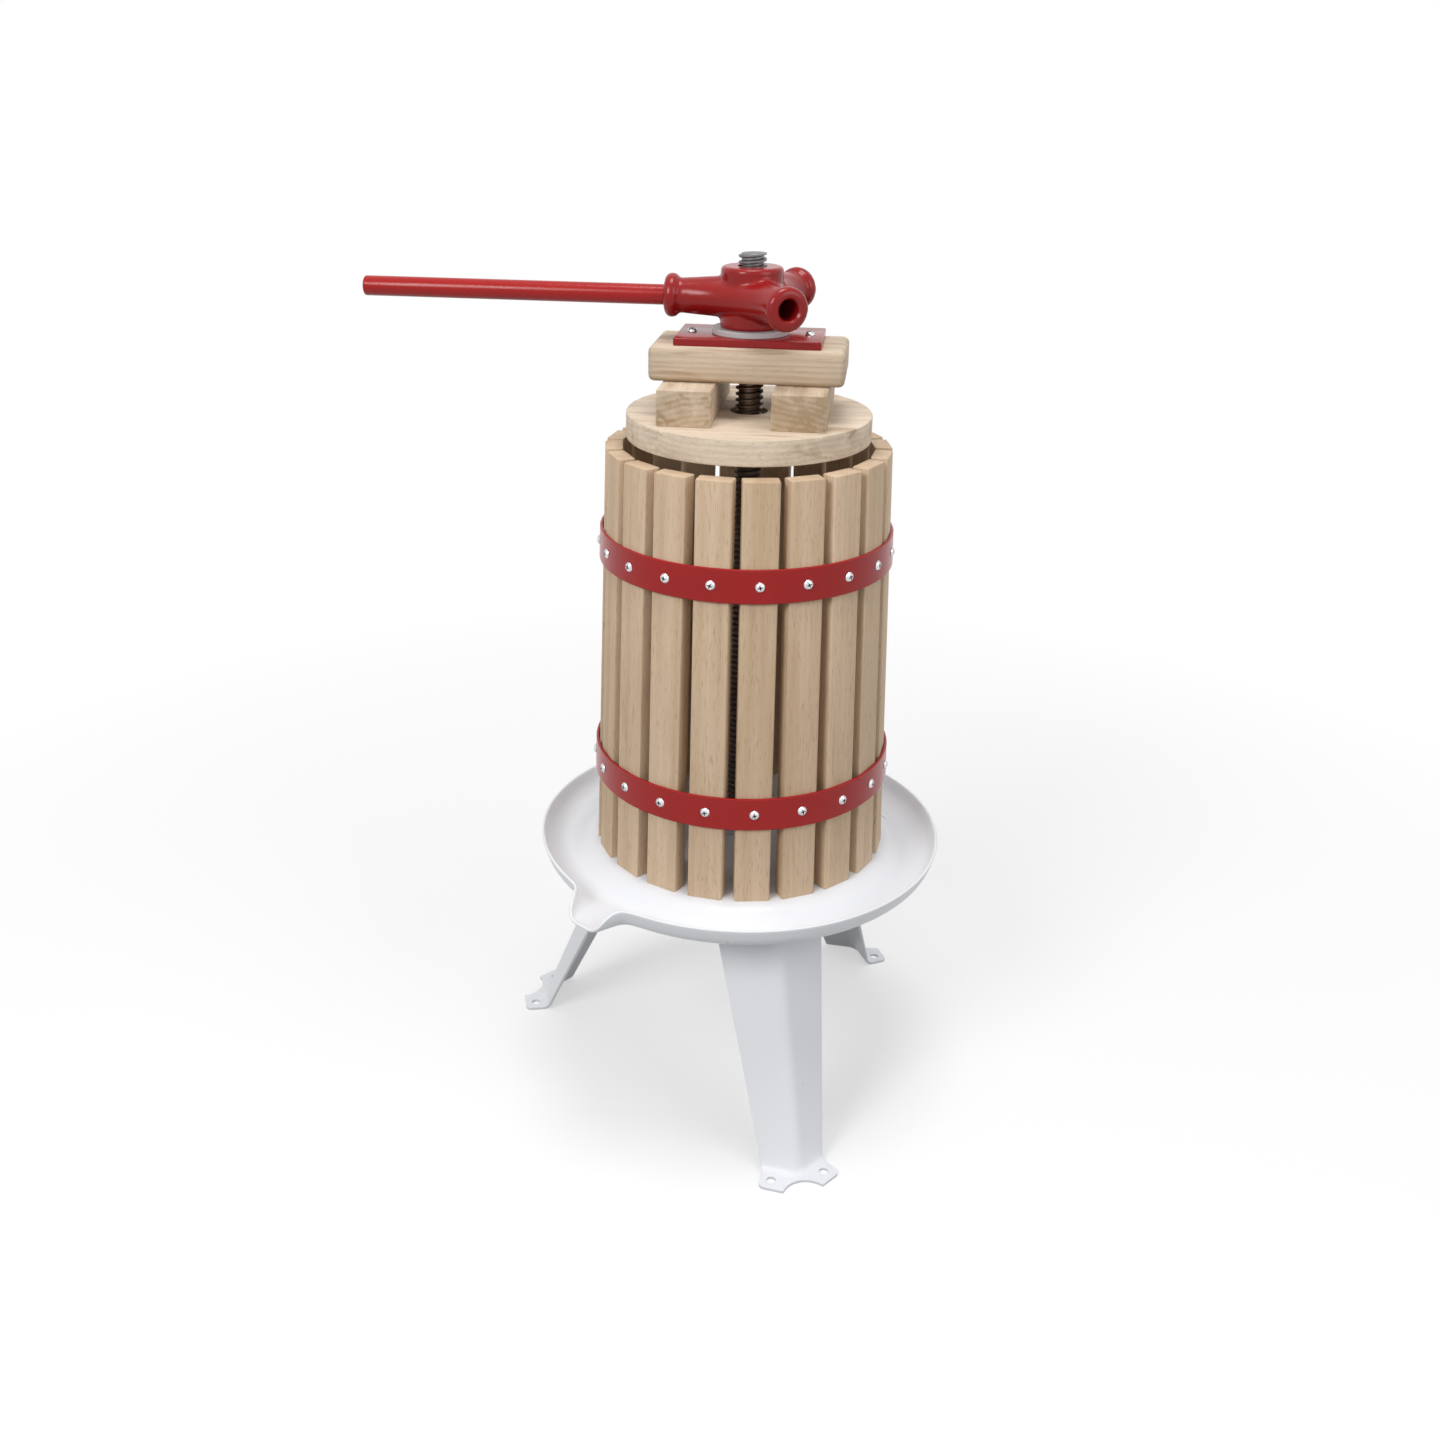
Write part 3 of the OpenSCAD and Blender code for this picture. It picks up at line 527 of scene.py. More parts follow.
def saw_level(bm, low, high):
    """Cuts a mesh level at a low and a high plane and closes both ends."""
    for z, outer in ((low, False), (high, True)):
        end = bmesh.ops.bisect_plane(bm, geom=bm.verts[:] + bm.edges[:] + bm.faces[:],
                                     plane_co=(0, 0, z), plane_no=(0, 0, 1),
                                     clear_outer=outer, clear_inner=not outer)
        rim = [g for g in end["geom_cut"] if isinstance(g, bmesh.types.BMEdge)]
        bmesh.ops.holes_fill(bm, edges=rim, sides=0)


saw_level(bm, SPINDLE_LOW, SPINDLE_TOP)
bmesh.ops.recalc_face_normals(bm, faces=bm.faces[:])
place(bm, "spindle_thread", "base", steel, ["spindle"], sharp=40)

# Slats
# Twenty boards of pale hardwood, planed and eased along their edges, each with its own grain and
# tone. They lean inwards, stand on the pan and are screwed to the hoops.

SLAT_COUNT = 20
SLAT_WIDTH = 23 * MM
SLAT_THICK = 11.5 * MM
SLAT_HEIGHT = 282 * MM
SLAT_FOOT_R = 100.5 * MM
SLAT_TOP_R = 93.5 * MM
SLAT_TURN = 11
SLAT_EDGE = 1.2 * MM
SLAT_TOP_EDGE = 0.7 * MM
SLAT_SPARE_LENGTH = 1.2
SLAT_TONES = (-0.26, -0.06)
FRONT_SLAT_TONE = 0.2
SLAT_PALE = (0.70, 0.54, 0.385, 1)
SLAT_DARK = (0.46, 0.31, 0.18, 1)
SLAT_PORE = (0.26, 0.155, 0.085, 1)
SLAT_LEAN = math.atan((SLAT_FOOT_R - SLAT_TOP_R) / SLAT_HEIGHT)

wood_grain, given, result = node_group(
    "planed wood",
    [("Grain", "NodeSocketVector"), ("Tone", "NodeSocketFloat"), ("Pale", "NodeSocketColor"),
     ("Dark", "NodeSocketColor"), ("Pore", "NodeSocketColor"), ("Rings", "NodeSocketFloat"),
     ("Streaks", "NodeSocketFloat")],
    [("Colour", "NodeSocketColor"), ("Roughness", "NodeSocketFloat"), ("Height", "NodeSocketFloat")])
along = put(wood_grain, "ShaderNodeMapping",
            {"Vector": given["Grain"], "Scale": (1.0, 1.0, 0.035)})
figure = put(wood_grain, "ShaderNodeTexNoise",
             {"Vector": along.outputs["Vector"], "Scale": 95.0, "Detail": 3.0, "Distortion": 0.4})
fibre = put(wood_grain, "ShaderNodeTexNoise",
            {"Vector": along.outputs["Vector"], "Scale": 900.0, "Detail": 3.0})
drift = put(wood_grain, "ShaderNodeTexNoise",
            {"Vector": given["Grain"], "Scale": 14.0, "Detail": 2.0})
growth = put(wood_grain, "ShaderNodeTexWave",
             {"Vector": along.outputs["Vector"], "Scale": 85.0, "Distortion": 6.0, "Detail": 2.0,
              "Detail Scale": 0.5}, wave_type="RINGS", rings_direction="Z")
drawn = put(wood_grain, "ShaderNodeMapping",
            {"Vector": given["Grain"], "Scale": (1.0, 1.0, 0.12)})
cloud = put(wood_grain, "ShaderNodeTexNoise",
            {"Vector": drawn.outputs["Vector"], "Scale": 110.0, "Detail": 2.0, "Distortion": 0.8})
stain = put(wood_grain, "ShaderNodeMapRange",
            {"Value": cloud.outputs["Fac"], "From Min": 0.56, "From Max": 0.72})
dash = put(wood_grain, "ShaderNodeMapping",
           {"Vector": given["Grain"], "Scale": (1.0, 1.0, 0.085)})
pores = put(wood_grain, "ShaderNodeTexNoise",
            {"Vector": dash.outputs["Vector"], "Scale": 1500.0, "Detail": 1.0})
pore_mask = put(wood_grain, "ShaderNodeMapRange",
                {"Value": pores.outputs["Fac"], "From Min": 0.6, "From Max": 0.74})
bands = put(wood_grain, "ShaderNodeMapRange",
            {"Value": figure.outputs["Fac"], "From Min": 0.3, "From Max": 0.72})
ring_mid = put(wood_grain, "ShaderNodeMath", {0: growth.outputs["Fac"], 1: 0.5},
               operation="SUBTRACT")
mixed = put(wood_grain, "ShaderNodeMath",
            {0: bands.outputs["Result"], 1: 0.45, 2: given["Tone"]}, operation="MULTIPLY_ADD")
for share, amount in ((fibre.outputs["Fac"], 0.35), (drift.outputs["Fac"], 0.3),
                      (ring_mid.outputs[0], given["Rings"]),
                      (stain.outputs["Result"], given["Streaks"])):
    mixed = put(wood_grain, "ShaderNodeMath", {0: share, 1: amount, 2: mixed.outputs[0]},
                operation="MULTIPLY_ADD")
mixed.use_clamp = True
plank = put(wood_grain, "ShaderNodeMixRGB",
            {"Fac": mixed.outputs[0], "Color1": given["Pale"], "Color2": given["Dark"]})
flecks = put(wood_grain, "ShaderNodeMath", {0: pore_mask.outputs["Result"], 1: 0.44},
             operation="MULTIPLY")
flecked = put(wood_grain, "ShaderNodeMixRGB",
              {"Fac": flecks.outputs[0], "Color1": plank.outputs["Color"],
               "Color2": given["Pore"]})
dry = put(wood_grain, "ShaderNodeMapRange",
          {"Value": fibre.outputs["Fac"], "To Min": 0.5, "To Max": 0.7})
sunk = put(wood_grain, "ShaderNodeMath",
           {0: fibre.outputs["Fac"], 1: pore_mask.outputs["Result"]}, operation="SUBTRACT")
wood_grain.links.new(flecked.outputs["Color"], result["Colour"])
wood_grain.links.new(dry.outputs["Result"], result["Roughness"])
wood_grain.links.new(sunk.outputs[0], result["Height"])


def planed_wood(name, pale, dark, pore, rings, streaks):
    """Bare planed hardwood whose grain follows each board's own coordinates and tone."""
    material, tree, shader = blank_material(name)
    grain = put(tree, "ShaderNodeAttribute", attribute_name="grain")
    tone = put(tree, "ShaderNodeAttribute", attribute_name="tone")
    board = put(tree, "ShaderNodeGroup", node_tree=wood_grain)
    tree.links.new(grain.outputs["Vector"], board.inputs["Grain"])
    tree.links.new(tone.outputs["Fac"], board.inputs["Tone"])
    for socket, value in (("Pale", pale), ("Dark", dark), ("Pore", pore), ("Rings", rings),
                          ("Streaks", streaks)):
        board.inputs[socket].default_value = value
    bump = put(tree, "ShaderNodeBump",
               {"Height": board.outputs["Height"], "Strength": 0.25, "Distance": 0.15 * MM})
    tree.links.new(board.outputs["Colour"], shader.inputs["Base Color"])
    tree.links.new(board.outputs["Roughness"], shader.inputs["Roughness"])
    tree.links.new(bump.outputs["Normal"], shader.inputs["Normal"])
    shader.inputs["Specular IOR Level"].default_value = 0.3
    return material


rng = random.Random(7)


def from_pith():
    """Where a board lay in its log: off the pith in some direction, at some height."""
    turn, away = rng.uniform(0, 2 * math.pi), rng.uniform(0.05, 0.14)
    return Vector((away * math.cos(turn), away * math.sin(turn), rng.uniform(0, 3)))


def mark_grain(bm, to_board, start, tone, end_tone=0, half_length=1):
    """Stores each vertex's place in its log, with the grain along Z, and the tone of its face."""
    grain = bm.verts.layers.float_vector.new("grain")
    shade = bm.verts.layers.float.new("tone")
    for v in bm.verts:
        spot = to_board @ v.co
        v[grain] = spot + start
        v[shade] = tone + (end_tone if abs(spot.z) > half_length - 0.01 * MM else 0)


slat_wood = planed_wood("slat wood", SLAT_PALE, SLAT_DARK, SLAT_PORE, rings=0.08, streaks=0.16)
for i in range(SLAT_COUNT):
    bm = bmesh.new()
    bmesh.ops.create_cube(bm, size=1)
    bmesh.ops.scale(bm, vec=(SLAT_WIDTH, SLAT_THICK, SLAT_SPARE_LENGTH * SLAT_HEIGHT),
                    verts=bm.verts[:])
    bmesh.ops.translate(bm, vec=(0, SLAT_THICK / 2, SLAT_HEIGHT / 2), verts=bm.verts[:])
    lean = Matrix.Translation((0, -SLAT_FOOT_R, PAN_SEAT)) @ Matrix.Rotation(-SLAT_LEAN, 4, "X")
    bmesh.ops.transform(bm, matrix=lean, verts=bm.verts[:])
    saw_level(bm, PAN_SEAT, PAN_SEAT + SLAT_HEIGHT)
    long_edges = [e for e in bm.edges
                  if abs((e.verts[0].co - e.verts[1].co).z) > SLAT_HEIGHT / 2]
    bmesh.ops.bevel(bm, geom=long_edges, offset=SLAT_EDGE, offset_type="OFFSET", segments=3,
                    profile=0.5, affect="EDGES", material=-1)
    tops = [e for e in bm.edges if all(v.co.z > PAN_SEAT + SLAT_HEIGHT - MM for v in e.verts)]
    bmesh.ops.bevel(bm, geom=tops, offset=SLAT_TOP_EDGE, offset_type="OFFSET", segments=2,
                    profile=0.5, affect="EDGES", material=-1)
    bmesh.ops.recalc_face_normals(bm, faces=bm.faces[:])
    start = from_pith()
    tone = rng.uniform(*SLAT_TONES) + (FRONT_SLAT_TONE if i == 0 else 0)
    mark_grain(bm, lean.inverted(), start, tone)
    bow = Matrix.Rotation(math.radians(SLAT_TURN + i * 360 / SLAT_COUNT), 4, "Z")
    bmesh.ops.transform(bm, matrix=bow, verts=bm.verts[:])
    name = f"slat_{i + 1:02d}"
    place(bm, name + "_board", "base", slat_wood, [name], sharp=30)

# Hoops
# Two bands of 22 x 2 mm flat steel rolled to the basket's taper, welded end to end and ground flush
# but for a bead at the top edge, and enamelled red. One screw holds each slat to each hoop.

HOOP_WIDTH = 22 * MM
HOOP_THICK = 2 * MM
HOOP_HEIGHT = {"lower": 63.5 * MM, "upper": 217 * MM}
HOOP_WELD_TURN = {"lower": 56, "upper": 146}
HOOP_EASE = 0.5 * MM
HOOP_CLEARANCE = 0.1 * MM
HOOP_STEPS = 180
BEAD_R = 1.9 * MM
BEAD_SHAPE = (0.5, 1, 0.6)
BEAD_SINK = 0.1 * MM
BEAD_DROP = 0.3 * MM
RED_ENAMEL = (0.365, 0.009, 0.008, 1)


def slat_face_r(height):
    """Distance from the axis to the slats' outer faces at a height above their feet."""
    return SLAT_FOOT_R - height * math.tan(SLAT_LEAN)


def hoop_inner_r(height):
    """Inner radius of a hoop, which bears on the slats' eased edges."""
    return math.hypot(slat_face_r(height), SLAT_WIDTH / 2 - SLAT_EDGE) + HOOP_CLEARANCE


red_enamel = enamel("red enamel", RED_ENAMEL, mottle=0.14, gloss=0.22, peel_strength=0.012,
                    shine=0.3)
for level, height in HOOP_HEIGHT.items():
    bm = bmesh.new()
    inner = hoop_inner_r(height)
    half, ease, outer = HOOP_WIDTH / 2, HOOP_EASE, HOOP_THICK
    section = [(0, -half + ease), (ease, -half), (outer - ease, -half), (outer, -half + ease),
               (outer, half - ease), (outer - ease, half), (ease, half), (0, half - ease)]
    band = [(inner + x - z * math.tan(SLAT_LEAN), PAN_SEAT + height + z) for x, z in section]
    edge_r, edge_z = band[4]
    turned(bm, band + band[:1], HOOP_STEPS)
    bmesh.ops.remove_doubles(bm, verts=bm.verts[:], dist=WELD)
    bead = bmesh.ops.create_uvsphere(bm, u_segments=16, v_segments=8, radius=BEAD_R)["verts"]
    bmesh.ops.scale(bm, vec=BEAD_SHAPE, verts=bead)
    bmesh.ops.translate(bm, vec=(edge_r - BEAD_SINK, 0, edge_z - BEAD_DROP), verts=bead)
    bmesh.ops.recalc_face_normals(bm, faces=bm.faces[:])
    bmesh.ops.transform(bm, matrix=azimuth(HOOP_WELD_TURN[level]), verts=bm.verts[:])
    node = "hoop_" + level
    place(bm, node + "_band", "base", red_enamel, [node])

# Hoop screws
# Forty domed wood screws with a cross recess, in bright zinc, two in each slat, with painted shade
# in each recess. Each head is drawn down on its hoop, square to the leaning slat.

SCREW_HEAD_R = 3.2 * MM
SCREW_HEAD_H = 2.0 * MM
RECESS_R = 1.9 * MM
RECESS_DEPTH = 1.4 * MM
RECESS_WAIST = 0.34
RECESS_REACH = 1.01
SCREW_SINK = 0.2 * MM
SCREW_GAP = 0.1 * MM
SCREW_STEPS = 24
DOME_SHARES = (1, 0.9, 0.75, 0.62)
# Painted shade: the dark colour given to the faces inside each screw's cross recess.
RECESS_PAINTED_SHADE = (0.06, 0.06, 0.075, 1)


def domed_screw(bm, head_r, head_h, matrix):
    """A domed screw head with a cross recess, seated on the matrix's plane; the recess faces take the
    second material, which is painted shade.
    """
    fresh = bmesh.new()
    ball_r = (head_r ** 2 + head_h ** 2) / (2 * head_h)
    low = math.asin(head_r / ball_r)
    scale = head_r / SCREW_HEAD_R
    mouth, depth = RECESS_R * scale, RECESS_DEPTH * scale
    ball_z = head_h - ball_r
    dome = [(ball_r * math.sin(low * t), ball_z + ball_r * math.cos(low * t)) for t in DOME_SHARES]
    rim_z = ball_z + math.sqrt(ball_r ** 2 - mouth ** 2)
    profile = [(head_r * 0.9, -SCREW_SINK)] + dome
    profile += [(mouth, rim_z), (mouth * 0.82, rim_z - depth), (mouth * 0.1, rim_z - depth * 1.2)]
    turned(fresh, profile, SCREW_STEPS)
    recess_r = mouth * RECESS_REACH
    # Faces inside the recess take material slot 1, which holds painted shade.
    for face in fresh.faces:
        face.material_index = int(all(v.co.xy.length <= recess_r for v in face.verts))
    for v in fresh.verts:
        if v.co.xy.length <= recess_r:
            turn = math.atan2(v.co.y, v.co.x)
            arm = RECESS_WAIST + (1 - RECESS_WAIST) * math.cos(2 * turn) ** 4
            v.co.x *= arm
            v.co.y *= arm
    bmesh.ops.holes_fill(fresh, edges=[e for e in fresh.edges if e.is_boundary], sides=0)
    bmesh.ops.recalc_face_normals(fresh, faces=fresh.faces[:])
    bmesh.ops.transform(fresh, matrix=matrix, verts=fresh.verts[:])
    merge_into(bm, fresh)


# Painted shade for the insides of the screws' cross recesses.
recess_painted_shade = plated_metal("recess painted shade", RECESS_PAINTED_SHADE)
for level, height in HOOP_HEIGHT.items():
    bm = bmesh.new()
    seat = hoop_inner_r(height) + HOOP_THICK + SCREW_GAP
    for i in range(SLAT_COUNT):
        on_hoop = (Matrix.Rotation(math.radians(SLAT_TURN + i * 360 / SLAT_COUNT), 4, "Z")
                   @ Matrix.Translation((0, -seat, PAN_SEAT + height))
                   @ Matrix.Rotation(math.pi / 2 - SLAT_LEAN, 4, "X")
                   @ Matrix.Rotation(rng.uniform(0, math.pi / 2), 4, "Z"))
        domed_screw(bm, SCREW_HEAD_R, SCREW_HEAD_H, on_hoop)
    node = "hoop_screws_" + level
    heads = place(bm, node + "_heads", "base", zinc, [node], sharp=40)
    # Second material slot: the painted shade in the recesses.
    heads.data.materials.append(recess_painted_shade)

# Press disc
# A round of pale hardwood sawn in two along its grain so that it goes on round the spindle. It lies
# on the fruit and just clears the slats.

DISC_R = 79.99 * MM
DISC_LOW = 465.5 * MM
DISC_THICK = 17 * MM
DISC_HOLE_R = 12.5 * MM
DISC_EDGE = 1.2 * MM
DISC_STEPS = 72
DISC_TONE = -0.37
SAW_HALF = 0.15 * MM
PRESS_PALE = (0.80, 0.675, 0.54, 1)
PRESS_DARK = (0.40, 0.285, 0.175, 1)
PRESS_PORE = (0.36, 0.25, 0.155, 1)

press_wood = planed_wood("press wood", PRESS_PALE, PRESS_DARK, PRESS_PORE, rings=0.18, streaks=0.42)
GRAIN_ALONG_X = Matrix.Rotation(math.pi / 2, 4, "Y")
GRAIN_ALONG_Y = Matrix.Rotation(math.pi / 2, 4, "X")
for half, turn in (("front", math.pi), ("back", 0)):
    bm = bmesh.new()
    face_r, top = DISC_R - DISC_EDGE, DISC_LOW + DISC_THICK
    profile = [(DISC_HOLE_R, DISC_LOW), (face_r, DISC_LOW)]
    profile += arc((face_r, DISC_LOW + DISC_EDGE), DISC_EDGE, -math.pi / 2, 0, 3)
    profile += arc((face_r, top - DISC_EDGE), DISC_EDGE, 0, math.pi / 2, 3)
    profile += [(DISC_HOLE_R, top), (DISC_HOLE_R, DISC_LOW)]
    turned(bm, profile, DISC_STEPS, math.pi)
    bmesh.ops.remove_doubles(bm, verts=bm.verts[:], dist=WELD)
    bmesh.ops.holes_fill(bm, edges=[e for e in bm.edges if e.is_boundary], sides=0)
    bmesh.ops.recalc_face_normals(bm, faces=bm.faces[:])
    bmesh.ops.translate(bm, vec=(0, SAW_HALF, 0), verts=bm.verts[:])
    bmesh.ops.transform(bm, matrix=Matrix.Rotation(turn, 4, "Z"), verts=bm.verts[:])
    mark_grain(bm, GRAIN_ALONG_X, from_pith(), DISC_TONE)
    node = "disc_half_" + half
    place(bm, node + "_board", "press_stack", press_wood, [node], sharp=30)

# Blocks and beam
# Two short blocks lie across the disc's seam and carry a beam with well-rounded edges. All are bare
# hardwood, sawn and eased, darker at the blocks' end grain. The beam is shown without its bore.

BLOCK_WIDTH = 34 * MM
BLOCK_HEIGHT = 23 * MM
BLOCK_LENGTH = 109 * MM
BLOCK_CENTRE = 35.75 * MM
BLOCK_LOW = 482.5 * MM
BEAM_LENGTH = 124 * MM
BEAM_WIDTH = 62 * MM
BEAM_HEIGHT = 22.5 * MM
BEAM_LOW = 505.5 * MM
BLOCK_EDGE = 0.8 * MM
BEAM_EDGE = 4 * MM
BLOCK_TONES = (("block_left", -1, -0.09), ("block_right", 1, 0.1))
BLOCK_PITH = (0.05, 0.07)
END_GRAIN_TONE = 0.25
BEAM_TONE = 0.0


def eased_box(size, centre, edge, segments):
    """A sawn block with all its edges eased."""
    bm = bmesh.new()
    bmesh.ops.create_cube(bm, size=1)
    bmesh.ops.scale(bm, vec=size, verts=bm.verts[:])
    bmesh.ops.bevel(bm, geom=bm.edges[:], offset=edge, offset_type="OFFSET", segments=segments,
                    profile=0.5, affect="EDGES", material=-1)
    bmesh.ops.translate(bm, vec=centre, verts=bm.verts[:])
    return bm


for name, side, tone in BLOCK_TONES:
    bm = eased_box((BLOCK_WIDTH, BLOCK_LENGTH, BLOCK_HEIGHT),
                   (side * BLOCK_CENTRE, 0, BLOCK_LOW + BLOCK_HEIGHT / 2), BLOCK_EDGE, 2)
    start = Vector((side * BLOCK_PITH[0], BLOCK_PITH[1], rng.random()))
    mark_grain(bm, GRAIN_ALONG_Y, start, tone, END_GRAIN_TONE, BLOCK_LENGTH / 2)
    place(bm, name + "_wood", "press_stack", press_wood, [name], sharp=30)
bm = eased_box((BEAM_LENGTH, BEAM_WIDTH, BEAM_HEIGHT), (0, 0, BEAM_LOW + BEAM_HEIGHT / 2),
               BEAM_EDGE, 4)
mark_grain(bm, GRAIN_ALONG_X, from_pith(), BEAM_TONE)
place(bm, "beam_wood", "press_stack", press_wood, ["beam"], sharp=30)

# Base plate and thrust washer
# A red enamelled steel plate spreads the head's push over the beam, held by two domed screws. A pale
# washer lies on it, and the head turns on the washer.

PLATE_LENGTH = 93 * MM
PLATE_WIDTH = 53 * MM
PLATE_THICK = 5.2 * MM
PLATE_LOW = 528 * MM
PLATE_EDGE = 0.8 * MM
PLATE_TOP = PLATE_LOW + PLATE_THICK
PLATE_SCREW_X = 37.75 * MM
PLATE_SCREW_R = 3.3 * MM
PLATE_SCREW_H = 2.6 * MM
WASHER_R = 25 * MM
WASHER_HOLE_R = 10 * MM
WASHER_THICK = 3.7 * MM
WASHER_EASE = 0.5 * MM
WASHER_STEPS = 72
WASHER_GREY = (0.5, 0.48, 0.49, 1)
DEEP_RED = (0.29, 0.009, 0.009, 1)

bm = eased_box((PLATE_LENGTH, PLATE_WIDTH, PLATE_THICK), (0, 0, PLATE_LOW + PLATE_THICK / 2),
               PLATE_EDGE, 3)
deep_red = enamel("deep red enamel", DEEP_RED, mottle=0.12, gloss=0.2, peel_strength=0.02,
                  shine=0.3)
place(bm, "base_plate_steel", "press_stack", deep_red, ["base_plate"], sharp=30)
bm = bmesh.new()
for x in (-PLATE_SCREW_X, PLATE_SCREW_X):
    domed_screw(bm, PLATE_SCREW_R, PLATE_SCREW_H, Matrix.Translation((x, 0, PLATE_TOP + SCREW_GAP)))
heads = place(bm, "plate_screw_heads", "press_stack", zinc, ["plate_screws"], sharp=40)
# Second material slot: the painted shade in the recesses.
heads.data.materials.append(recess_painted_shade)

washer_pale = enamel("pale washer", WASHER_GREY, mottle=0.06, gloss=0.42, peel_strength=0.05,
                     shine=0.4)
bm = bmesh.new()
low, high, ease = PLATE_TOP, PLATE_TOP + WASHER_THICK, WASHER_EASE
turned(bm, [(WASHER_HOLE_R, low), (WASHER_R - ease, low), (WASHER_R, low + ease),
            (WASHER_R, high - ease), (WASHER_R - ease, high), (WASHER_HOLE_R, high),
            (WASHER_HOLE_R, low)], WASHER_STEPS)
bmesh.ops.remove_doubles(bm, verts=bm.verts[:], dist=WELD)
bmesh.ops.recalc_face_normals(bm, faces=bm.faces[:])
place(bm, "thrust_washer_ring", "press_stack", washer_pale, ["thrust_washer"])

# Head
# One iron casting: a threaded hub with three sockets whose arms run into each other in a rounded
# belt, each with a beaded collar at its mouth. It is melted into one form, bored and enamelled red.

HUB_R = 20 * MM
HUB_LOW = 536.9 * MM
HUB_HEIGHT = 38.6 * MM
HUB_EDGE = 1.6 * MM
HUB_STEPS = 64
HUB_BORE_R = 9.4 * MM
HUB_DRILL_LOW = 0.5
HUB_DRILL_HIGH = 0.6
SOCKET_Z = HUB_LOW + 18.8 * MM
SOCKET_TURNS = (-90, 30, 150)
SOCKET_R = 6.7 * MM
SOCKET_FLOOR = 15 * MM
SOCKET_MOUTH = 1.2 * MM
ARM_REACH = 55.5 * MM
ARM_ROOT_R = 13 * MM
ARM_R = 11 * MM
ARM_STEPS = 48
COLLAR_R = 14 * MM
COLLAR_WIDTH = 9.2 * MM
COLLAR_ROUND = 4 * MM
WEB_R = 10.8 * MM
WEB_SWEEP_R = 86.6 * MM
WEB_HALF_SWEEP = math.radians(30)
WEB_STEPS = 24
CAST_GRID = 0.85 * MM
CAST_SMOOTHING = 9


def add_closed(bm, profile, steps, matrix):
    """Adds a closed turned body to the mesh, placed by a matrix."""
    fresh = bmesh.new()
    turned(fresh, profile, steps)
    bmesh.ops.remove_doubles(fresh, verts=fresh.verts[:], dist=WELD)
    bmesh.ops.recalc_face_normals(fresh, faces=fresh.faces[:])
    bmesh.ops.transform(fresh, matrix=matrix, verts=fresh.verts[:])
    merge_into(bm, fresh)


def scratch_object(bm, name):
    """An object that is only needed while a piece is being made."""
    mesh = bpy.data.meshes.new(name)
    bm.to_mesh(mesh)
    bm.free()
    made = bpy.data.objects.new(name, mesh)
    bpy.context.scene.collection.objects.link(made)
    return made


def evaluated_copy(obj):
    """The object's mesh with its modifiers applied, as a new bmesh."""
    bpy.context.view_layer.update()
    bm = bmesh.new()
    bm.from_object(obj, bpy.context.evaluated_depsgraph_get())
    return bm


bm = bmesh.new()
hub_top = HUB_LOW + HUB_HEIGHT
add_closed(bm, [(0, HUB_LOW), (HUB_R, HUB_LOW), (HUB_R, hub_top - HUB_EDGE),
                (HUB_R - HUB_EDGE, hub_top), (0, hub_top)], HUB_STEPS, Matrix.Identity(4))
collar_x = ARM_REACH - COLLAR_WIDTH
bead_r = COLLAR_R - COLLAR_ROUND
arm_profile = [(0, 0), (ARM_ROOT_R, 0), (ARM_ROOT_R, HUB_R), (ARM_R, collar_x)]
arm_profile += arc((bead_r, collar_x + COLLAR_ROUND), COLLAR_ROUND, -math.pi / 4, 0, 6)
arm_profile += arc((bead_r, ARM_REACH - COLLAR_ROUND), COLLAR_ROUND, 0, math.pi / 2, 8)
arm_profile += [(0, ARM_REACH)]
lying = Matrix.Rotation(math.pi / 2, 4, "Y")
at_sockets = Matrix.Translation((0, 0, SOCKET_Z))
for turn in SOCKET_TURNS:
    add_closed(bm, arm_profile, ARM_STEPS, at_sockets @ azimuth(turn) @ lying)
    fresh = bmesh.new()
    web_centre = (WEB_SWEEP_R / math.cos(WEB_HALF_SWEEP), 0, 0)
    spot = (Matrix.Translation((web_centre[0] - WEB_SWEEP_R, 0, 0))
            @ Matrix.Rotation(math.pi / 2, 4, "X"))
    bmesh.ops.create_circle(fresh, cap_ends=False, radius=WEB_R, segments=32, matrix=spot)
    bmesh.ops.rotate(fresh, cent=web_centre, matrix=Matrix.Rotation(-WEB_HALF_SWEEP, 3, "Z"),
                     verts=fresh.verts[:])
    bmesh.ops.spin(fresh, geom=fresh.verts[:] + fresh.edges[:], cent=web_centre, axis=(0, 0, 1),
                   dvec=(0, 0, 0), angle=2 * WEB_HALF_SWEEP, steps=WEB_STEPS, use_duplicate=False)
    bmesh.ops.holes_fill(fresh, edges=[e for e in fresh.edges if e.is_boundary], sides=0)
    bmesh.ops.recalc_face_normals(fresh, faces=fresh.faces[:])
    bmesh.ops.transform(fresh, matrix=at_sockets @ azimuth(turn + 60), verts=fresh.verts[:])
    merge_into(bm, fresh)
casting = scratch_object(bm, "head casting")
melt = casting.modifiers.new("melt", "REMESH")
melt.mode = "VOXEL"
melt.voxel_size = CAST_GRID
bm = evaluated_copy(casting)
for step in range(CAST_SMOOTHING):
    bmesh.ops.smooth_vert(bm, verts=bm.verts[:], factor=0.5, use_axis_x=True, use_axis_y=True,
                          use_axis_z=True)
cast = scratch_object(bm, "head smooth")
bm = bmesh.new()
add_closed(bm, [(0, HUB_DRILL_LOW), (HUB_BORE_R, HUB_DRILL_LOW), (HUB_BORE_R, HUB_DRILL_HIGH),
                (0, HUB_DRILL_HIGH)], HUB_STEPS, Matrix.Identity(4))
mouth_r = SOCKET_R + SOCKET_MOUTH
